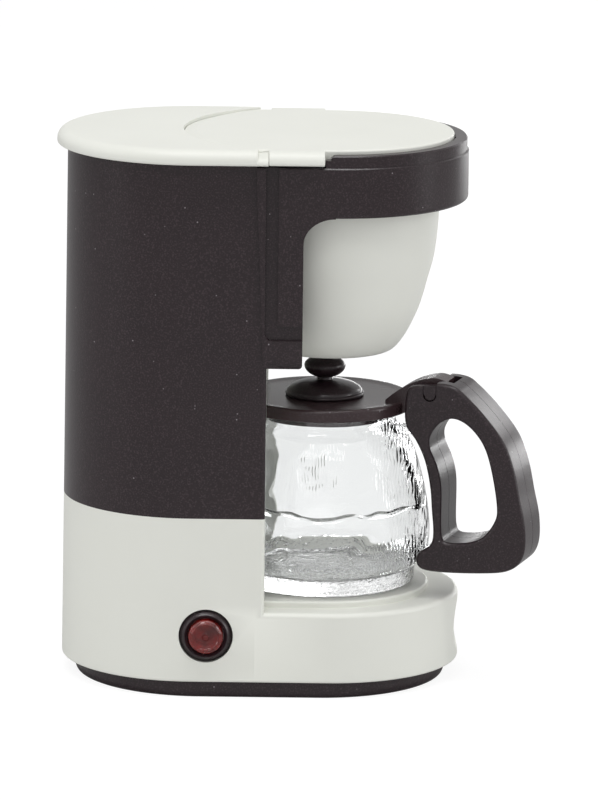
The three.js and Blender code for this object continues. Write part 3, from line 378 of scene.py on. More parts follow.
# Light of the white room on matt faces and as mirrored in smooth ones, and the table
ROOM_LEVEL = 0.5
MIRRORED_LEVEL = 0.62
TABLE_GLOW = 1.14
TABLE_GLOW_SHARE = 0.78
TABLE_HALF_WIDTH = 4

# Soft boxes: place, width and height in metres, and power in watts
SOFT_BOX_AIM = (0, 0, 0.03)
SOFT_BOXES = [
    ("front_top_box", (-0.1, -0.4, 0.5), (0.3, 0.12), 0.5),
    ("top_box", (-0.02, -0.115, 0.6), (0.5, 0.1), 1.35),
    ("right_box", (0.5, -0.05, 0.16), (0.1, 0.28), 0.5),
    ("front_card", (-0.15, -0.55, 0.25), (0.08, 0.08), 0.04),
    ("left_box", (-0.5, -0.15, 0.2), (0.1, 0.3), 0.26),
    ("handle_box", (0.29, 0.39, 0.18), (0.1, 0.08), 0.12),
    ("back_card", (0.14, 0.36, 0.022), (0.3, 0.035), 0.22),
]


def linear(hex_colour):
    """A written sRGB colour as linear red, green, blue and alpha."""
    parts = [int(hex_colour[i:i + 2], 16) / 255 for i in (1, 3, 5)]
    return (*[c / 12.92 if c <= 0.04045 else ((c + 0.055) / 1.055) ** 2.4 for c in parts], 1)


def add_node(tree, kind, inputs=None, **settings):
    """Adds a node with its settings; inputs holds values, or nodes and sockets to link from."""
    node = tree.nodes.new("ShaderNode" + kind)
    for key, value in settings.items():
        setattr(node, key, value)
    for socket, value in (inputs or {}).items():
        if isinstance(value, bpy.types.Node):
            value = next(output for output in value.outputs if output.enabled)
        if isinstance(value, bpy.types.NodeSocket):
            tree.links.new(value, node.inputs[socket])
        else:
            node.inputs[socket].default_value = value
    return node


def node_adder(owner):
    """Empties the node tree of a new material or world, and gives the function that adds to it."""
    owner.use_nodes = True
    owner.node_tree.nodes.clear()
    return partial(add_node, owner.node_tree)


def new_material(name):
    """An empty material, the function that adds its nodes, and the coordinates fixed to the piece."""
    made = bpy.data.materials.new(name)
    add = node_adder(made)
    return made, add, add("TexCoord").outputs["Object"]


def per_metre(size_mm):
    """The texture scale that gives a pattern this many millimetres across."""
    return 1 / (size_mm * MM)


def per_wave(size_mm):
    """The wave texture's scale that puts its bands this many millimetres apart."""
    return 2 * pi / (20 * size_mm * MM)


def surface(add, inputs):
    """Ends a material in a principled surface."""
    add("OutputMaterial", {"Surface": add("BsdfPrincipled", inputs)})


def moulded_ivory_abs():
    """ABS from a lightly blasted mould: a soft, even satin without a sharp reflection."""
    made, add, place = new_material("moulded_ivory_abs")
    tint = add("TexNoise", {"Vector": place, "Scale": per_metre(IVORY_PATCH), "Detail": 2})
    colour = add("Mix", {"Factor": tint, "A": linear("#E6E7DF"), "B": linear("#EBECE5")}, data_type="RGBA")
    # The blasted grain is about 0.05 mm; it is drawn wider so that it shows
    grain = add("TexNoise", {"Vector": place, "Scale": per_metre(BLASTED_GRAIN), "Detail": 3})
    relief = add("Bump", {"Height": grain, "Strength": 0.12, "Distance": BLASTED_DEPTH * MM})
    gloss = add("MapRange", {"Value": tint, "To Min": 0.4, "To Max": 0.48})
    surface(add, {"Base Color": colour, "Roughness": gloss, "IOR": 1.53, "Normal": relief})
    return made


def moulded_dark_abs(name, colour_hex, grain_mm, rough):
    """Dark ABS from a spark-eroded mould: a grain, painted light specks that stand in for its grey sparkle,
    and dust.
    """
    made, add, place = new_material(name)
    grain = add("TexNoise", {"Vector": place, "Scale": per_metre(grain_mm), "Detail": 2})
    relief = add("Bump", {"Height": grain, "Strength": 1, "Distance": ERODED_DEPTH * MM})
    tint = add("TexNoise", {"Vector": place, "Scale": per_metre(DARK_PATCH), "Detail": 3})
    broad = add("Mix", {"Factor": tint, "A": linear(colour_hex), "B": linear("#281C20")}, data_type="RGBA")
    # Painted sparkle: lighter 0.05 mm specks stand in for the light that the grain catches, drawn wider so
    # that they show
    pits = add("TexNoise", {"Vector": place, "Scale": per_metre(PIT_SIZE), "Detail": 2})
    pitted = add("MapRange", {"Value": pits, "From Min": 0.5, "From Max": 0.78})
    base = add("Mix", {"Factor": pitted, "A": broad, "B": linear("#43373B")}, data_type="RGBA")
    # Dust of 0.1 to 0.2 mm, one speck in every few cells
    cells = add("TexVoronoi", {"Vector": place, "Scale": per_metre(DUST_CELL)})
    near = add("MapRange", {"Value": cells, "From Min": 0.04, "From Max": 0.09, "To Min": 1, "To Max": 0})
    chance = add("SeparateColor", {"Color": cells.outputs["Color"]}).outputs["Red"]
    some = add("Math", {0: chance, 1: 0.72}, operation="GREATER_THAN")
    speck = add("Math", {0: near, 1: some}, operation="MULTIPLY")
    colour = add("Mix", {"Factor": speck, "A": base, "B": linear("#8E878B")}, data_type="RGBA")
    surface(add, {"Base Color": colour, "Roughness": rough, "IOR": 1.5, "Normal": relief})
    return made


def moulded_clear_styrene():
    """Clear polystyrene, injection moulded: slow swells and patches of ripples bend what shows through."""
    made, add, place = new_material("moulded_clear_styrene")
    parts = add("SeparateXYZ", {"Vector": place}).outputs
    # Upright flow ripples in patches on the handle's side, and a print of them on the near wall
    ripples = add("TexWave", {
        "Vector": place, "Scale": per_wave(RIPPLE_PITCH), "Distortion": 8, "Detail": 1, "Detail Scale": 0.5,
    }, bands_direction="X")
    patches = add("TexNoise", {"Vector": place, "Scale": per_metre(RIPPLE_PATCH), "Detail": 1})
    at_handle = add("MapRange", {
        "Value": parts["X"], "From Min": RIPPLE_START_X * MM, "From Max": RIPPLE_FULL_X * MM,
        "To Max": RIPPLE_HEIGHT,
    })
    broken = add("MapRange", {"Value": patches, "From Min": 0.35, "From Max": 0.6, "To Max": at_handle})
    off_print = add("VectorMath", {0: place, 1: [c * MM for c in PRINT_PLACE]}, operation="DISTANCE")
    print_mark = add("MapRange", {
        "Value": off_print, "From Min": PRINT_RADIUS * MM, "From Max": PRINT_RADIUS / 2 * MM,
        "To Max": PRINT_HEIGHT,
    })
    where = add("Math", {0: broken, 1: print_mark}, operation="MAXIMUM")
    fine = add("Math", {0: ripples.outputs["Fac"], 1: where}, operation="MULTIPLY")
    # The foot is stippled, as its mould was left rough
    at_foot = add("MapRange", {
        "Value": parts["Z"], "From Min": STIPPLE_FULL_Z * MM, "From Max": STIPPLE_END_Z * MM,
        "To Min": STIPPLE_HEIGHT, "To Max": 0,
    })
    stipple = add("TexNoise", {"Vector": place, "Scale": per_metre(STIPPLE_SIZE), "Detail": 1})
    foot = add("Math", {0: stipple, 1: at_foot, 2: fine}, operation="MULTIPLY_ADD")
    # A small step runs along the near wall at a wavy level, which bends a dark line into view
    swell = add("TexNoise", {"Vector": place, "Scale": per_metre(SWELL_SIZE), "Detail": 1})
    wander = add("Math", {0: swell, 1: STEP_WANDER * MM, 2: parts["Z"]}, operation="MULTIPLY_ADD")
    at_front = add("MapRange", {
        "Value": parts["Y"], "From Min": STEP_START_Y * MM, "From Max": STEP_FULL_Y * MM,
        "To Max": STEP_HEIGHT,
    })
    step = add("MapRange", {
        "Value": wander, "From Min": STEP_LOW_Z * MM, "From Max": STEP_HIGH_Z * MM, "To Max": at_front,
    }, interpolation_type="SMOOTHSTEP")
    stepped = add("Math", {0: step, 1: foot}, operation="ADD")
    height = add("Math", {0: swell, 1: SWELL_HEIGHT, 2: stepped}, operation="MULTIPLY_ADD")
    relief = add("Bump", {"Height": height, "Strength": 1, "Distance": MM})
    surface(add, {
        "Base Color": linear("#FBFCFC"), "Roughness": 0.01, "IOR": 1.55, "Transmission Weight": 1,
        "Normal": relief,
    })
    return made


def tinted_acrylic_red():
    """Polished red acrylic: deep and glossy, with painted lighter and darker reds for the reflections in the
    moulded facets inside it.
    """
    made, add, place = new_material("tinted_acrylic_red")
    facets = add("TexVoronoi", {"Vector": place, "Scale": per_metre(FACET_SIZE)})
    # Painted reflections: the facets' lighter and darker reds stand in for the light they reflect; the same
    # facets give the relief
    colour = add("Mix", {"Factor": facets, "A": linear("#B01E1A"), "B": linear("#5E0E0D")}, data_type="RGBA")
    relief = add("Bump", {"Height": facets, "Strength": 1, "Distance": FACET_DEPTH * MM})
    surface(add, {
        "Base Color": colour, "Roughness": 0.06, "IOR": 1.49, "Transmission Weight": 0.55,
        "Coat Weight": 0.4, "Coat Roughness": 0.03, "Normal": relief,
    })
    return made


def plated_steel(name, rough):
    """Drawn wire or a headed screw with bright zinc plating: a soft metal gleam, very finely uneven."""
    made, add, place = new_material(name)
    # The plating's grain is about 0.03 mm; it is drawn wider so that it shows
    grain = add("TexNoise", {"Vector": place, "Scale": per_metre(PLATING_GRAIN), "Detail": 2})
    relief = add("Bump", {"Height": grain, "Strength": 0.1, "Distance": PLATING_DEPTH * MM})
    surface(add, {"Base Color": linear("#C4C6C9"), "Metallic": 1, "Roughness": rough, "Normal": relief})
    return made


def in_scene(name, data):
    """A new object in the scene."""
    made = bpy.data.objects.new(name, data)
    bpy.context.scene.collection.objects.link(made)
    return made


def object_from(name, points, faces):
    """A mesh object from points in millimetres, with its faces turned outwards."""
    data = bpy.data.meshes.new(name)
    data.from_pydata([tuple(p) for p in points], [], faces)
    made = in_scene(name, data)
    form = bmesh.new()
    form.from_mesh(data)
    bmesh.ops.remove_doubles(form, verts=form.verts, dist=SAME_POINT)
    bmesh.ops.recalc_face_normals(form, faces=form.faces)
    form.to_mesh(data)
    form.free()
    return made


def settle(piece):
    """Gives a piece the mesh that its modifiers make."""
    bpy.context.view_layer.update()
    graph = bpy.context.evaluated_depsgraph_get()
    made = bpy.data.meshes.new_from_object(piece.evaluated_get(graph))
    old = piece.data
    piece.modifiers.clear()
    piece.data = made
    bpy.data.meshes.remove(old)


def combine(piece, tool, operation):
    """Joins, cuts or keeps a piece by another solid, which is used up."""
    step = piece.modifiers.new("combine", "BOOLEAN")
    step.operation = operation
    step.solver = "EXACT"
    step.object = tool
    settle(piece)
    bpy.data.objects.remove(tool)
    return piece


join = partial(combine, operation="UNION")
cut = partial(combine, operation="DIFFERENCE")
keep = partial(combine, operation="INTERSECT")


def soften(piece, width=MOULD_EDGE, segments=3, angle=CREASE_ANGLE):
    """Rounds the edges sharper than an angle, as a mould leaves them."""
    clean = piece.modifiers.new("clean", "WELD")
    clean.merge_threshold = SAME_EDGE
    edge = piece.modifiers.new("edge", "BEVEL")
    edge.width = width
    edge.segments = segments
    edge.limit_method = "ANGLE"
    edge.angle_limit = angle
    edge.use_clamp_overlap = True
    settle(piece)
    return piece


def shade(piece):
    """Smooth shading with the flat faces kept flat."""
    piece.data.shade_smooth()
    piece.data.set_sharp_from_angle(angle=SMOOTH_ANGLE)
    weigh = piece.modifiers.new("weigh", "WEIGHTED_NORMAL")
    weigh.keep_sharp = True
    settle(piece)


def dress(piece, finish):
    """Gives a piece the material of its finish, which is the name of a slot and a material."""
    piece.data.materials.clear()
    piece.data.materials.append(finish[1])


def finished(piece, body, finish):
    """Turns a piece to metres, gives it its finish and body, and puts it for the node in its name."""
    shade(piece)
    place = Matrix.Scale(MM, 4)
    if body in ("carafe", "carafe_lid"):
        place = place @ Matrix.Translation((POT_AXIS_X, 0, 0)) @ Matrix.Rotation(POT_TURN, 4, "Z")
    piece.data.transform(place)
    dress(piece, finish)
    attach(piece, body)
    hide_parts(piece.name.removesuffix("_fine"))


def half_width_at(z):
    return BASE_HALF_WIDTH + (TOP_HALF_WIDTH - BASE_HALF_WIDTH) * z / COLUMN_TOP


def seam_at(z):
    share = (z - SEAM_STEP_Z) / (COLUMN_TOP - SEAM_STEP_Z)
    return SEAM_BOTTOM_X + (SEAM_TOP_X - SEAM_BOTTOM_X) * share


def arc(x, y, radius, start, end, steps):
    angles = [start + (end - start) * i / steps for i in range(steps + 1)]
    return [(x + radius * cos(a), y + radius * sin(a)) for a in angles]


def quarter_round(inset, rise, steps=EDGE_STEPS):
    """Pairs of inset and rise, from fully inset to none."""
    turns = [QUARTER * i / steps for i in range(steps + 1)]
    return [(inset * (1 - sin(a)), rise * (1 - cos(a))) for a in turns]


def foot_edge(level, z, inset, rise=None, steps=EDGE_STEPS):
    """The levels of a rounded lower edge that starts at z; level makes one from a height and an inset."""
    return [level(z + up, by) for by, up in quarter_round(inset, rise or inset, steps)]


def top_edge(level, z, inset, rise=None, steps=EDGE_STEPS):
    """The levels of a rounded upper edge that ends at z."""
    return [level(z - down, by) for by, down in reversed(quarter_round(inset, rise or inset, steps))]


def turned(radius):
    """Levels for the side of a turned body."""
    return lambda z, inset: (radius - inset, z)


def stadium_plan(half_width, rear_x=REAR_CENTRE_X, front_x=FRONT_CENTRE_X):
    return [
        *arc(front_x, 0, half_width, -QUARTER, QUARTER, HALF_ROUND_STEPS),
        *arc(rear_x, 0, half_width, QUARTER, 3 * QUARTER, HALF_ROUND_STEPS),
    ]


def column_plan(half_width, front_x, corner):
    x, y = front_x - corner, half_width - corner
    return [
        *arc(x, -y, corner, -QUARTER, 0, EDGE_STEPS),
        *arc(x, y, corner, 0, QUARTER, EDGE_STEPS),
        *arc(REAR_CENTRE_X, 0, half_width, QUARTER, 3 * QUARTER, HALF_ROUND_STEPS),
    ]


def head_plan(half_width, rear_x, centre_x):
    return [
        (rear_x, -half_width),
        *arc(centre_x, 0, half_width, -QUARTER, QUARTER, HALF_ROUND_STEPS),
        (rear_x, half_width),
    ]


def lid_plan(inset, drawn_in=0):
    """The lid's outline: a half round in front, and a flat arc at the rear that can be drawn in."""
    half_width = LID_HALF_WIDTH - inset
    bow = LID_REAR_BOW - inset - drawn_in
    radius = (half_width ** 2 + bow ** 2) / (2 * bow)
    centre = LID_REAR_X + LID_REAR_BOW - bow + radius
    meet = asin(half_width / radius)
    return [
        *arc(LID_FRONT_CENTRE_X, 0, half_width, -QUARTER, QUARTER, HALF_ROUND_STEPS),
        *arc(centre, 0, radius, pi - meet, pi + meet, HALF_ROUND_STEPS),
    ]


def loft(name, levels):
    """A closed body through outlines of equal count, each a pair of height and points."""
    count = len(levels[0][1])
    points = [(x, y, z) for z, plan in levels for x, y in plan]
    faces = []
    for level in range(len(levels) - 1):
        for i in range(count):
            a = level * count + i
            b = level * count + (i + 1) % count
            faces.append((a, b, b + count, a + count))
    for z, first, turn in ((levels[0][0], 0, -1), (levels[-1][0], (len(levels) - 1) * count, 1)):
        cap = points[first:first + count]
        points.append((sum(p[0] for p in cap) / count, sum(p[1] for p in cap) / count, z))
        for i in range(count):
            edge = (first + i, first + (i + 1) % count)[::turn]
            faces.append((*edge, len(points) - 1))
    return object_from(name, points, faces)


def box(name, low, high):
    plan = [(low[0], low[1]), (high[0], low[1]), (high[0], high[1]), (low[0], high[1])]
    return loft(name, [(low[2], plan), (high[2], plan)])


def spun(name, profile, steps=TURNED_STEPS):
    """A body turned about an upright axis, from pairs of radius and height: axis to axis, or closed."""
    closed = profile[0] == profile[-1]
    rows = profile[:-1] if closed else profile
    points = []
    places = []
    for radius, z in rows:
        if radius < ON_AXIS:
            places.append([len(points)] * steps)
            points.append((0, 0, z))
        else:
            places.append([len(points) + i for i in range(steps)])
            turns = [2 * pi * i / steps for i in range(steps)]
            points.extend((radius * cos(a), radius * sin(a), z) for a in turns)
    pairs = list(zip(places, places[1:])) + ([(places[-1], places[0])] if closed else [])
    faces = []
    for low, high in pairs:
        for i in range(steps):
            j = (i + 1) % steps
            face = [low[i], low[j], high[j], high[i]]
            face = [v for k, v in enumerate(face) if v not in face[:k]]
            if len(face) > 2:
                faces.append(tuple(face))
    return object_from(name, points, faces)


def moved(piece, x, y, z=0):
    piece.data.transform(Matrix.Translation((x, y, z)))
    return piece


def along_y(piece, x, z):
    """Lays a turned body on its side: its heights become places along Y."""
    piece.data.transform(Matrix.Translation((x, 0, z)) @ Matrix.Rotation(-QUARTER, 4, "X"))
    return piece


def rod(name, radius, low, high, steps=SMALL_STEPS):
    return spun(name, [(0, low), (radius, low), (radius, high), (0, high)], steps)


def rod_along_y(name, x, z, radius, start, end, steps=SMALL_STEPS):
    return along_y(rod(name, radius, start, end, steps), x, z)


def side_slab(name, outline, start, end):
    """A side outline in X and Z, from one place along Y to another."""
    count = len(outline)
    points = [(x, y, z) for y in (start, end) for x, z in outline]
    faces = [(i, (i + 1) % count, (i + 1) % count + count, i + count) for i in range(count)]
    faces += [tuple(range(count)), tuple(reversed(range(count, 2 * count)))]
    return object_from(name, points, faces)


def catmull_rom(points, steps, closed=False):
    """A smooth line through a few points, spaced by the square root of their distances."""
    line = [Vector(p) for p in points]
    spans = len(line) if closed else len(line) - 1
    if closed:
        line = [line[-1], *line, *line[:2]]
    else:
        line = [2 * line[0] - line[1], *line, 2 * line[-1] - line[-2]]
    made = []
    for i in range(steps if closed else steps + 1):
        place = min(i / steps * spans, spans - SAME_PLACE)
        index = int(place)
        near = line[index:index + 4]
        t = [0]
        for a, b in zip(near, near[1:]):
            t.append(t[-1] + max((b - a).length, SHORTEST_SPAN) ** 0.5)
        at = t[1] + (place - index) * (t[2] - t[1])
        for first, reach in ((0, 1), (0, 2), (1, 1)):
            ends = [(t[k], t[k + reach]) for k in range(first, first + len(near) - 1)]
            near = [a * ((high - at) / (high - low)) + b * ((at - low) / (high - low))
                    for a, b, (low, high) in zip(near, near[1:], ends)]
        made.append((near[0].x, near[0].y))
    return made


def handle_points(shares):
    span, rise = HANDLE_REACH - HANDLE_EAR_REACH, HANDLE_TOP - HANDLE_BOTTOM
    return [(HANDLE_EAR_REACH + out * span, HANDLE_BOTTOM + up * rise) for out, up in shares]


def base_plate(finish):
    side = half_width_at(PLATE_THICKNESS) - PLATE_INSET
    rear, front = REAR_CENTRE_X + PLATE_END_INSET, FRONT_CENTRE_X - PLATE_END_INSET

    def level(z, inset=0):
        return z, stadium_plan(side - inset, rear, front)

    plate = loft("base_plate_fine", [
        *foot_edge(level, 0, PLATE_EDGE_INSET, PLATE_EDGE_HEIGHT, 10), level(PLATE_THICKNESS),
    ])
    for x in SCREW_XS:
        for y in SCREW_YS:
            plate = cut(plate, moved(rod("head_room", SCREW_ROOM_RADIUS, -OVERRUN, SCREW_ROOM_TOP), x, y))
    finished(plate, "root", finish)


def lower_housing(finish):
    def column(z, inset=0):
        return z, column_plan(half_width_at(z) - inset, COLUMN_FRONT_X, COLUMN_CORNER)

    def front(z, inset=0):
        return z, stadium_plan(half_width_at(z) - inset)

    tower = loft("lower_housing_fine", [
        *foot_edge(column, PLATE_THICKNESS, HOUSING_FOOT_EDGE),
        column(BUTTON_Z - BEZEL_HOLE - BUTTON_MARGIN),
        column(BUTTON_Z + BEZEL_HOLE + BUTTON_MARGIN),
        column(HOUSING_TOP - 3 * MOULD_EDGE),
        column(HOUSING_TOP),
    ])
    shelf = loft("shelf", [
        *foot_edge(front, PLATE_THICKNESS, HOUSING_FOOT_EDGE),
        *top_edge(front, LEDGE_TOP, LEDGE_EDGE),
    ])
    far = 2 * half_width_at(0)
    shelf = keep(shelf, box("front_part", (COLUMN_FRONT_X - SHELF_LAP, -far, 0), (far, far, HOUSING_TOP)))
    recess = rod("recess", RECESS_RADIUS, PLATFORM_TOP, HOUSING_TOP + OVERRUN, TURNED_STEPS)
    housing = join(cut(tower, moved(recess, POT_AXIS_X, 0)), shelf)
    housing = join(housing, raised_plate())
    outside = -half_width_at(BUTTON_Z)
    shoulder = outside + BUTTON_HOLE_DEPTH
    for radius, start, end in ((BEZEL_HOLE, outside - OVERRUN, shoulder),
                               (BEZEL_FLANGE_RADIUS + LOOSE_FIT, shoulder, outside + BUTTON_WELL_DEPTH)):
        housing = cut(housing, rod_along_y("well", BUTTON_X, BUTTON_Z, radius, start, end, BUTTON_STEPS))
    finished(soften(cut(housing, finger_scoop())), "root", finish)


def raised_plate():
    """The plate under the pot, straight at its sides from the column on, round at the front."""
    def level(z, inset=0):
        return z, head_plan(PLATFORM_HALF_WIDTH - inset, COLUMN_FRONT_X - SHELL_WALL, POT_AXIS_X)

    return loft("raised_plate", [
        level(LEDGE_TOP - LEDGE_EDGE), *top_edge(level, PLATFORM_TOP, PLATFORM_EDGE),
    ])


def finger_scoop():
    """The shallow hollow across the front of the base."""
    reach = SCOOP_BULGE - SCOOP_DEPTH
    share = sqrt(1 - (reach / SCOOP_BULGE) ** 2)
    ball = spun("scoop", arc(0, 0, 1, -QUARTER, QUARTER, 48), 96)
    ball.data.transform(Matrix.Diagonal((SCOOP_BULGE, SCOOP_WIDTH / 2, SCOOP_HEIGHT / 2 / share, 1)))
    return moved(ball, FRONT_CENTRE_X + half_width_at(SCOOP_CENTRE_Z) + reach, 0, SCOOP_CENTRE_Z)


def column_shell(finish):
    def outside(z, front_x, corner):
        return z, column_plan(half_width_at(z), front_x, corner)

    wrap = loft("column_shell_fine", [
        outside(HOUSING_TOP, COLUMN_FRONT_X, COLUMN_CORNER),
        outside(SEAM_STEP_Z, COLUMN_FRONT_X, COLUMN_CORNER),
        outside(SEAM_STEP_Z + SUDDEN_RISE, seam_at(SEAM_STEP_Z), SEAM_CORNER),
        outside(COLUMN_TOP, seam_at(COLUMN_TOP), SEAM_CORNER),
    ])
    hollow = loft("hollow", [
        (z, stadium_plan(half_width_at(z) - SHELL_WALL))
        for z in (HOUSING_TOP - OVERRUN, COLUMN_TOP + OVERRUN)
    ])
    finished(soften(cut(wrap, hollow), FINE_EDGE), "root", finish)


def brew_head(finish):
    def level(z, inset=0):
        return z, head_plan(RING_HALF_WIDTH - inset, seam_at(z) - HEAD_SEAM_LAP, RING_CENTRE_X)

    ring = loft("brew_head_fine", [
        *foot_edge(level, RING_BOTTOM, RING_EDGE),
        level(RING_TOP - RIM_CHAMFER),
        level(RING_TOP, RIM_CHAMFER),
    ])
    cheeks = loft("cheeks", [
        level(HEAD_BOTTOM, FOOT_STEP_INSET),
        level(FOOT_STEP_TOP, FOOT_STEP_INSET),
        level(FOOT_STEP_TOP + SUDDEN_RISE),
        level(RING_TOP),
    ])
    outer = RING_HALF_WIDTH + OVERRUN
    head = join(ring, keep(cheeks, side_slab("cheek_side", cheek_outline(), -outer, outer)))
    for side in (-1, 1):
        face = side * RING_HALF_WIDTH
        start, end = sorted((face - side * GROOVE_DEPTH, face + side * OVERRUN))
        head = cut(head, side_slab("groove", groove_outline(), start, end))

    def well(radius, bottom):
        bore = moved(rod("well", radius, bottom, RING_TOP + OVERRUN, TURNED_STEPS), FRONT_CENTRE_X, 0)
        room = box("room", (HEAD_BACK_X, -outer, bottom - OVERRUN), (outer, outer, RING_TOP + 2 * OVERRUN))
        return keep(bore, room)

    head = cut(head, well(BASKET_RIM_RADIUS + BASKET_ROOM, HEAD_BOTTOM - OVERRUN))
    head = cut(head, well(BASKET_FLANGE_RADIUS + LOOSE_FIT, BASKET_FLANGE_BOTTOM))
    rear, top = SEAM_TOP_X - OVERRUN, RING_TOP + OVERRUN
    for name, half, bottom, front in (
            ("tank_room", half_width_at(HEAD_BOTTOM) - SHELL_WALL, HEAD_BOTTOM - OVERRUN, SEAM_BOTTOM_X),
            ("lid_room", LID_HALF_WIDTH + LOOSE_FIT, HEAD_BACK_TOP, FRONT_CENTRE_X)):
        head = cut(head, box(name, (rear, -half, bottom), (front, half, top)))
    finished(join(soften(head), soften(rim(), RIM_EDGE, 2)), "root", finish)


def cheek_outline():
    """Side outline of the cheek, with the round inner corner under the ring."""
    rear = SEAM_TOP_X - OVERRUN
    fillet_x, fillet_z = CHEEK_FRONT_X + CHEEK_FILLET_X, RING_BOTTOM - CHEEK_FILLET_Z
    bend = [(fillet_x + x * CHEEK_FILLET_X, fillet_z + z * CHEEK_FILLET_Z)
            for x, z in arc(0, 0, 1, pi, QUARTER, 20)]
    corner = CHEEK_CORNER
    foot = arc(CHEEK_FRONT_X - corner, HEAD_BOTTOM + corner, corner, -QUARTER, 0, EDGE_STEPS)
    top = RING_BOTTOM + RING_EDGE
    return [(rear, HEAD_BOTTOM), *foot, *bend, (fillet_x, top), (rear, top)]


def groove_outline():
    """The bent groove between the cheek's raised panel and its edge."""
    front_out = CHEEK_FRONT_X + OVERRUN
    top = COLUMN_TOP + OVERRUN
    outer, inner = GROOVE_CORNER, GROOVE_CORNER / 2
    return [
        (GROOVE_REAR_X, top),
        *arc(GROOVE_REAR_X + outer, GROOVE_BOTTOM + outer, outer, pi, 3 * QUARTER, 10),
        (front_out, GROOVE_BOTTOM), (front_out, GROOVE_TOP),
        *arc(GROOVE_FRONT_X + inner, GROOVE_TOP + inner, inner, 3 * QUARTER, pi, 10),
        (GROOVE_FRONT_X, top),
    ]


def rim():
    """The raised rim round the front of the lid, with its low step beside the cover and the thumb notch."""
    def plan(inset):
        return head_plan(RING_HALF_WIDTH - RIM_INSET - inset, RIM_STEP_X, RING_CENTRE_X)

    wall = loft("rim", [
        (RING_TOP - RIM_INSET, plan(0)),
        (RIM_TOP - RIM_CHAMFER, plan(0)),
        (RIM_TOP, plan(RIM_CHAMFER)),
    ])
    inside = lid_plan(-LOOSE_FIT)
    wall = cut(wall, loft("inside", [(RING_TOP - OVERRUN, inside), (RIM_TOP + OVERRUN, inside)]))
    reach, bottom = RING_HALF_WIDTH + OVERRUN, RING_TOP - OVERRUN
    end = arc(RIM_REAR_X + RIM_END_ROUND, RIM_TOP - RIM_END_ROUND, RIM_END_ROUND, pi, QUARTER, 8)
    profile = [(RIM_STEP_X, bottom), (RIM_STEP_X, RIM_STEP_TOP), (RIM_REAR_X, RIM_STEP_TOP), *end[1:],
               (reach, RIM_TOP), (reach, bottom)]
    wall = keep(wall, side_slab("rim_side", profile, -reach, reach))
    half = THUMB_NOTCH_WIDTH / 2
    inner = LID_FRONT_CENTRE_X + LID_HALF_WIDTH
    notch = box("notch", (inner - THUMB_NOTCH_WIDTH, -half, RIM_TOP - THUMB_NOTCH_DEPTH),
                (inner + RIM_INSET, half, RIM_TOP + OVERRUN))
    notch.data.transform(Matrix.Rotation(THUMB_NOTCH_ANGLE, 4, "Z"))
    return cut(wall, notch)


def filter_basket(finish):
    rise = BASKET_FLANGE_BOTTOM - BASKET_BOTTOM
    flare = BASKET_RIM_RADIUS - BASKET_BOTTOM_RADIUS
    through = [(BASKET_BOTTOM_RADIUS + out * flare, BASKET_BOTTOM + up * rise)
               for out, up in BASKET_OUTLINE_SHARES]
    curve = catmull_rom(through, CURVE_STEPS)
    floor = BASKET_BOTTOM + BASKET_WALL
    inner = [(r - BASKET_WALL, z) for r, z in curve if z > floor]
    cup = spun("filter_basket_fine", [
        (0, BASKET_BOTTOM), *curve, (BASKET_FLANGE_RADIUS, BASKET_FLANGE_BOTTOM),
        (BASKET_FLANGE_RADIUS, BASKET_FLANGE_TOP), (0, BASKET_FLANGE_TOP),
    ])
    above = BASKET_FLANGE_TOP + OVERRUN
    hollow = spun("hollow", [(0, floor), (inner[0][0], floor), *inner, (inner[-1][0], above), (0, above)])
    reach = BASKET_FLANGE_RADIUS + OVERRUN

    def front(x):
        return box("front", (x, -reach, BASKET_BOTTOM - OVERRUN), (reach, reach, above + OVERRUN))

    cup = keep(cup, front(BASKET_BACK_X))
    cup = cut(cup, keep(hollow, front(BASKET_BACK_X + BASKET_WALL)))
    cup = cut(cup, rod("drip", DRIP_HOLE_RADIUS, BASKET_BOTTOM - OVERRUN, BASKET_BOTTOM + OVERRUN))
    finished(soften(cup), "root", finish)


def cap_slab(name, bottom, top, edge=(COVER_TOP_ROUND, COVER_TOP_ROUND)):
    """The whole oval top with its rounded edge, which the cover and the lid's shoulders are parts of."""
    def level(z, inset):
        return z, stadium_plan(COVER_HALF_WIDTH - inset)

    return loft(name, [*foot_edge(level, bottom, COVER_FOOT_ROUND), *top_edge(level, top, *edge, 12)])


def tank_cover(finish):
    reach = COVER_HALF_WIDTH + OVERRUN
    rear, below, above = REAR_CENTRE_X - reach, COLUMN_TOP - OVERRUN, MACHINE_HEIGHT + OVERRUN
    cover = keep(cap_slab("tank_cover_fine", COLUMN_TOP, MACHINE_HEIGHT),
                 box("rear", (rear, -reach, below), (COVER_END_X, reach, above)))
    cover = soften(cover, COVER_CORNER, 4, EDGE_OF_CUT)
    ear = keep(cap_slab("ear", COLUMN_TOP, EAR_TOP, EAR_SLOPE),
               box("ear_room", (COVER_END_X - EAR_LAP, -reach, below), (EAR_END_X, reach, above)))
    cover = join(cover, ear)
    opening = lid_plan(-LOOSE_FIT)
    cover = cut(cover, loft("opening", [(below, opening), (above, opening)]))
    finished(soften(cover, FINE_EDGE / 2), "root", finish)


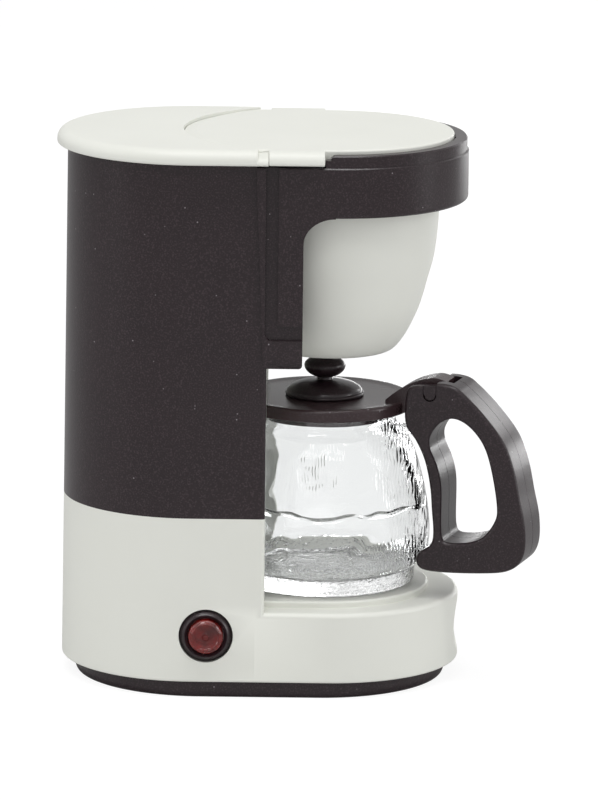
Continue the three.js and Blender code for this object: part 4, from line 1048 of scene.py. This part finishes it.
def front_lid(finish):
    lid = loft("front_lid_fine", [
        (LID_BOTTOM, lid_plan(0)),
        *[(LID_TOP - rise, lid_plan(inset, LID_CRESCENT * (1 - rise / LID_CRESCENT_DROP)))
          for inset, rise in reversed(quarter_round(LID_CRESCENT_DROP, LID_CRESCENT_DROP, 8))],
    ])
    reach, below = COVER_HALF_WIDTH + OVERRUN, LID_BOTTOM - OVERRUN
    inner = LID_HALF_WIDTH - LID_WALL
    shoulders = keep(cap_slab("shoulders", COLUMN_TOP + SLIP_FIT, LID_TOP),
                     box("middle", (SHOULDER_REAR_X, -reach, below), (COVER_FRONT_X, reach, MACHINE_HEIGHT)))
    shoulders = cut(shoulders, box("between", (SHOULDER_REAR_X - OVERRUN, -inner, below),
                                   (COVER_FRONT_X + OVERRUN, inner, LID_TOP - LID_EDGE)))
    lid = join(lid, soften(shoulders, SHOULDER_CORNER, 4, EDGE_OF_CUT))
    under = lid_plan(LID_WALL)
    lid = cut(lid, loft("under", [(below, under), (LID_BOTTOM + LID_HOLLOW, under)]))
    for side in (-1, 1):
        ends = sorted((side * (LID_HALF_WIDTH - KNUCKLE_ROOT), side * (LID_HALF_WIDTH + KNUCKLE_LENGTH)))
        lid = join(lid, rod_along_y("knuckle", LID_HINGE_X, LID_HINGE_Z, KNUCKLE_RADIUS, *ends))
    finished(soften(lid, FINE_EDGE), "front_lid", finish)


def carafe_glass(finish):
    rise, neck_top, floor = POT_TOP - POT_BOTTOM, POT_TOP - POT_LIP, POT_BOTTOM + GLASS_FLOOR
    through = [(out * POT_MAX_RADIUS, POT_BOTTOM + up * rise) for out, up in GLASS_OUTLINE_SHARES]
    above = [(r, z) for r, z in through if z > POT_FOOT_TOP]
    wall = catmull_rom([(POT_FOOT_TOP_RADIUS, POT_FOOT_TOP), *above, (POT_NECK_RADIUS, neck_top)],
                       GLASS_STEPS)
    core = catmull_rom([(FLOOR_RADIUS, floor), (FLOOR_EDGE_RADIUS, floor + FLOOR_EDGE_RISE),
                        *[(r - GLASS_WALL, z) for r, z in above[1:]],
                        (POT_NECK_RADIUS - GLASS_WALL, neck_top)], GLASS_STEPS)
    lip = [(r, neck_top + (z - neck_top) * POT_LIP_FLATNESS) for r, z in arc(
        POT_NECK_RADIUS - GLASS_WALL / 2, neck_top, GLASS_WALL / 2, 0, pi, 10)[1:-1]]
    glass = spun("carafe_glass_fine", [
        (0, POT_BOTTOM + FOOT_HOLLOW), (FOOT_HOLLOW_RADIUS, POT_BOTTOM + FOOT_HOLLOW),
        (FOOT_RING_RADIUS, POT_BOTTOM),
        *foot_edge(turned(POT_FOOT_RADIUS), POT_BOTTOM, POT_FOOT_ROUND, steps=8),
        *wall, *lip, *reversed(core), (0, floor),
    ])
    half = LUG_THICKNESS / 2
    for (low, high), start, reach in ((UPPER_LUG, POT_NECK_RADIUS, UPPER_LUG_REACH),
                                      (LOWER_LUG, POT_MAX_RADIUS - GLASS_WALL, LOWER_LUG_REACH)):
        lug = box("lug", (start, -half, low), (reach, half, high))
        glass = join(glass, soften(lug, (high - low) / 3, 5))
    finished(glass, "carafe", finish)


def tongue():
    """The arm that reaches from the pot lid over the hinge pin."""
    lid_top = POT_LID_RIM_TOP + POT_LID_BEVEL
    span, rise = TONGUE_PEAK[0] - TONGUE_ROOT_REACH, TONGUE_PEAK[1] - lid_top
    arch = catmull_rom([
        *[(TONGUE_ROOT_REACH + out * span, lid_top + up * rise) for out, up in TONGUE_SHARES], TONGUE_TAIL,
    ], TONGUE_STEPS)
    under = HINGE_HEIGHT - TONGUE_BARREL_RADIUS
    outline = [(TONGUE_ROOT_REACH, POT_LID_BOTTOM), (HANDLE_EAR_REACH, POT_LID_BOTTOM),
               (HINGE_REACH - TONGUE_BARREL_RADIUS, under), (HINGE_REACH, under),
               (TONGUE_TAIL[0], HINGE_HEIGHT), *reversed(arch)]
    arm = side_slab("tongue", outline, -TONGUE_WIDTH / 2, TONGUE_WIDTH / 2)
    return cut(arm, rod_along_y("pin_hole", HINGE_REACH, HINGE_HEIGHT, HINGE_PIN_RADIUS + SEAT_FIT,
                                -TONGUE_WIDTH, TONGUE_WIDTH))


def carafe_lid(finish):
    bead_top = POT_LID_RIM_TOP + POT_LID_BEVEL - POT_LID_BEAD_DROP
    neck = POT_NECK_RADIUS + LOOSE_FIT
    side, inner = turned(POT_LID_RADIUS), POT_LID_RADIUS - POT_LID_BEAD
    lid = spun("carafe_lid_fine", [
        (0, POT_LID_BOTTOM), (neck, POT_LID_BOTTOM), (neck, POT_LID_SKIRT),
        *foot_edge(side, POT_LID_SKIRT, POT_LID_FOOT_ROUND),
        *top_edge(side, bead_top, POT_LID_ROUND, steps=10), (inner, bead_top - POT_LID_BEAD_FALL),
        *[(inner - inset, POT_LID_DISH + up) for inset, up in POT_LID_DISH_EDGE], (0, POT_LID_DISH),
    ])
    plug = POT_NECK_RADIUS - GLASS_WALL - LOOSE_FIT
    low, high = POT_LID_BOTTOM - PLUG_DEPTH, POT_LID_BOTTOM + PLUG_WALL / 2
    lid = join(lid, spun("plug", [
        (plug - PLUG_WALL, low), (plug - PLUG_TAPER, low), (plug, POT_LID_BOTTOM), (plug, high),
        (plug - PLUG_WALL, high), (plug - PLUG_WALL, low),
    ]))
    finished(soften(join(lid, tongue()), FINE_EDGE), "carafe_lid", finish)


def lid_knob(finish):
    rim_top = KNOB_FLANGE_BOTTOM + KNOB_FLANGE_RIM
    middle = KNOB_BALL_BOTTOM + KNOB_LOWER_HEIGHT
    step = KNOB_FLANGE_RADIUS - KNOB_RIM_STEP
    dome = [(x * step, rim_top + z * KNOB_DOME) for x, z in arc(0, 0, 1, 0, QUARTER, 36)]
    dome = [(r, z) for r, z in dome if r > KNOB_NECK_RADIUS]
    ball = [(x * KNOB_RADIUS, middle + z * (KNOB_LOWER_HEIGHT if z < 0 else KNOB_UPPER_HEIGHT))
            for x, z in arc(0, 0, 1, -QUARTER, QUARTER, 40)]
    ball = [(r, z) for r, z in ball if r > KNOB_NECK_RADIUS or z > middle][:-1]
    side, edge = turned(KNOB_FLANGE_RADIUS), (KNOB_RIM_STEP, KNOB_FLANGE_RIM / 2)
    knob = spun("lid_knob_fine", [
        (0, KNOB_FLANGE_BOTTOM), *foot_edge(side, KNOB_FLANGE_BOTTOM, *edge), *top_edge(side, rim_top, *edge),
        *dome[1:], (KNOB_NECK_RADIUS, KNOB_BALL_BOTTOM + KNOB_DOME / 4),
        *ball, (0, middle + KNOB_UPPER_HEIGHT),
    ], KNOB_STEPS)
    finished(knob, "carafe_lid", finish)


def hinge_pin(finish):
    half, side = HANDLE_HALF_WIDTH, turned(HINGE_PIN_RADIUS)
    pin = along_y(spun("hinge_pin_fine", [
        (0, -half), *foot_edge(side, -half, PIN_EDGE), *top_edge(side, half, PIN_EDGE), (0, half),
    ], SMALL_STEPS), HINGE_REACH, HINGE_HEIGHT)
    for end in (-1, 1):
        inner, outer = sorted((end * (half - PIN_KEY_LENGTH), end * half))
        pin = join(pin, box("key", (HINGE_REACH - HINGE_PIN_RADIUS, inner, HINGE_HEIGHT),
                            (HINGE_REACH + HINGE_PIN_RADIUS, outer, HINGE_HEIGHT + PIN_KEY_RISE)))
    finished(pin, "carafe", finish)


def handle_half(name, side, finish):
    """One half of the handle; side is -1 towards the viewer and 1 away."""
    outline = catmull_rom(handle_points(HANDLE_OUTLINE_SHARES), HANDLE_STEPS, True)
    loop = catmull_rom(handle_points(LOOP_SHARES), LOOP_STEPS, True)
    half = side_slab(name + "_fine", outline, -HANDLE_HALF_WIDTH, HANDLE_HALF_WIDTH)
    wide = HANDLE_HALF_WIDTH + OVERRUN
    half = soften(cut(half, side_slab("loop", loop, -wide, wide)), HANDLE_EDGE, 5, EDGE_OF_CUT)
    start, end = sorted((side * HANDLE_SEAM / 2, -side * wide))
    slot, seat, far = EAR_SLOT_WIDTH / 2, HINGE_PIN_RADIUS + SLIP_FIT, HANDLE_REACH
    for tool in (
            box("other_half", (0, start, 0), (HANDLE_REACH + OVERRUN, end, MACHINE_HEIGHT)),
            box("slot", (0, -slot, EAR_SLOT_BOTTOM), (EAR_SLOT_REACH, slot, MACHINE_HEIGHT)),
            rod_along_y("seat", HINGE_REACH, HINGE_HEIGHT, seat, -far, far),
            box("snap", (HINGE_REACH - seat, -far, HINGE_HEIGHT), (HINGE_REACH + seat, far, MACHINE_HEIGHT))):
        half = cut(half, tool)
    finished(half, "carafe", finish)


def button_bezel(finish):
    face = -half_width_at(BUTTON_Z)
    front = face - BEZEL_PROUD
    step, back = front + BEZEL_FACE, front + BEZEL_LENGTH
    bore, wide = LENS_RADIUS + LOOSE_FIT, LENS_FLANGE_RADIUS + LOOSE_FIT
    flange = face + BEZEL_FLANGE_DEPTH
    flange_back = flange + BEZEL_FLANGE_THICKNESS
    bezel = along_y(spun("button_bezel_fine", [
        (bore, front + BEZEL_BEVEL), (bore + BEZEL_BEVEL, front),
        (BEZEL_RADIUS - BEZEL_BEVEL, front + BEZEL_BEVEL / 2), (BEZEL_RADIUS, front + 2 * BEZEL_BEVEL),
        (BEZEL_RADIUS, flange), (BEZEL_FLANGE_RADIUS, flange), (BEZEL_FLANGE_RADIUS, flange_back),
        (BEZEL_RADIUS, flange_back), (BEZEL_RADIUS, back), (wide, back), (wide, step), (bore, step),
        (bore, front + BEZEL_BEVEL),
    ], BUTTON_STEPS), BUTTON_X, BUTTON_Z)
    finished(soften(bezel, FINE_EDGE, 3, BEZEL_CREASE_ANGLE), "root", finish)


def button_lens(finish):
    front = -half_width_at(BUTTON_Z) - BEZEL_PROUD
    flange = front + BEZEL_FACE + SEAT_FIT
    flange_back = flange + LENS_FLANGE_THICKNESS
    top = front - LENS_PROUD
    face = [(x * LENS_RADIUS, top + LENS_DOME * deep)
            for x, deep in catmull_rom(LENS_FACE_SHARES, CURVE_STEPS)]
    lens = along_y(spun("button_lens_fine", [
        (0, top), *face[1:], (LENS_RADIUS, flange), (LENS_FLANGE_RADIUS, flange),
        (LENS_FLANGE_RADIUS, flange_back), (0, flange_back),
    ], BUTTON_STEPS), BUTTON_X, BUTTON_Z)
    finished(lens, "button", finish)


def button_spring(finish):
    """A copy of the coil from model.glb, with its finish's material, as it rests; it is not squeezed as the
    cap goes in.
    """
    coil = in_scene("button_spring_fine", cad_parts["button_spring"].data.copy())
    dress(coil, finish)
    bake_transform(coil)
    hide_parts("button_spring")


def seen_rays(add, path):
    """1 where a ray looks straight or through the pot, 0 where it lights or mirrors."""
    return add("Math", {0: path["Is Camera Ray"], 1: path["Is Transmission Ray"]}, operation="MAXIMUM")


def floor_and_backdrop():
    """A white table that keeps the machine's shadow, and a white room round it."""
    half = TABLE_HALF_WIDTH
    corners = [(-half, -half, 0), (half, -half, 0), (half, half, 0), (-half, half, 0)]
    table = object_from("table", corners, [(0, 1, 2, 3)])
    made = bpy.data.materials.new("matt_white_table")
    add = node_adder(made)
    path = add("LightPath").outputs
    # Mirrored in smooth faces, the table is dimmer than it looks
    tone = add("Mix", {
        "Factor": path["Is Glossy Ray"], "A": linear("#E4E4E4"), "B": linear("#C2C2C2"),
    }, data_type="RGBA")
    matt = add("BsdfDiffuse", {"Color": tone})
    glow = add("Emission", {"Color": linear("#FFFFFF"), "Strength": TABLE_GLOW})
    share = add("Math", {0: seen_rays(add, path), 1: TABLE_GLOW_SHARE}, operation="MULTIPLY")
    add("OutputMaterial", {"Surface": add("MixShader", {0: share, 1: matt, 2: glow})})
    table.data.materials.append(made)

    world = bpy.data.worlds.new("white_room")
    add = node_adder(world)
    path = add("LightPath").outputs
    level = add("MapRange", {"Value": seen_rays(add, path), "To Min": ROOM_LEVEL, "To Max": 1})
    # Mirrored in smooth faces, the room is dimmer than it looks, but brighter than on matt ones
    mirrored = add("Math", {
        0: path["Is Glossy Ray"], 1: MIRRORED_LEVEL - ROOM_LEVEL, 2: level,
    }, operation="MULTIPLY_ADD")
    add("OutputWorld", {"Surface": add("Background", {"Color": linear("#FFFFFF"), "Strength": mirrored})})
    bpy.context.scene.world = world


def lights():
    for name, place, size, power in SOFT_BOXES:
        data = bpy.data.lights.new(name, "AREA")
        data.shape = "RECTANGLE"
        data.size, data.size_y = size
        data.energy = power
        lamp = in_scene(name, data)
        lamp.location = place
        lamp.rotation_mode = "QUATERNION"
        lamp.rotation_quaternion = (Vector(SOFT_BOX_AIM) - Vector(place)).to_track_quat("-Z", "Y")
        lamp.visible_camera = False


def camera():
    """The photograph's view: from the button's side, a little above, with a long lens."""
    data = bpy.data.cameras.new("camera")
    data.lens = CAMERA_LENS
    data.sensor_width = CAMERA_SENSOR
    data.clip_start, data.clip_end = CAMERA_CLIP
    made = in_scene("camera", data)
    eye = Vector(CAMERA_EYE)
    towards = (eye - Vector(CAMERA_AIM)).to_track_quat("Z", "Y").to_matrix().to_4x4()
    roll = Matrix.Rotation(radians(CAMERA_ROLL), 4, "Z")
    made.matrix_world = Matrix.Translation(eye * MM) @ towards @ roll
    bpy.context.scene.camera = made


def machine():
    ivory = "ivory_plastic", moulded_ivory_abs()
    dark = "dark_plastic", moulded_dark_abs("spark_eroded_dark_abs", "#21171B", COARSE_GRAIN, 0.28)
    base_plate(dark)
    lower_housing(ivory)
    column_shell(dark)
    brew_head(dark)
    filter_basket(ivory)
    tank_cover(ivory)
    front_lid(ivory)
    carafe_glass(("clear_plastic", moulded_clear_styrene()))
    # Painted light: the pot lid's copy of the dark plastic is lighter than the rest, to brighten its shaded
    # side and top
    carafe_lid(("dark_plastic", moulded_dark_abs("fine_grained_dark_abs", "#433233", FINE_GRAIN, 0.26)))
    lid_knob(dark)
    hinge_pin(dark)
    handle_half("handle_near_half", -1, dark)
    handle_half("handle_far_half", 1, dark)
    button_bezel(dark)
    button_lens(("red_lens", tinted_acrylic_red()))
    screw = "spring_steel", plated_steel("zinc_plated_screw_steel", 0.32)
    button_spring(("spring_steel", plated_steel("drawn_spring_steel", 0.25)))
    # The nodes that stay as they are get their finish
    kept = {"tank_body": ivory, "button_retainer": dark, **{f"base_screw_{i}": screw for i in range(1, 5)}}
    for name, finish in kept.items():
        dress(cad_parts[name], finish)


camera()
floor_and_backdrop()
lights()
machine()
bpy.context.scene.view_settings.view_transform = "Standard"
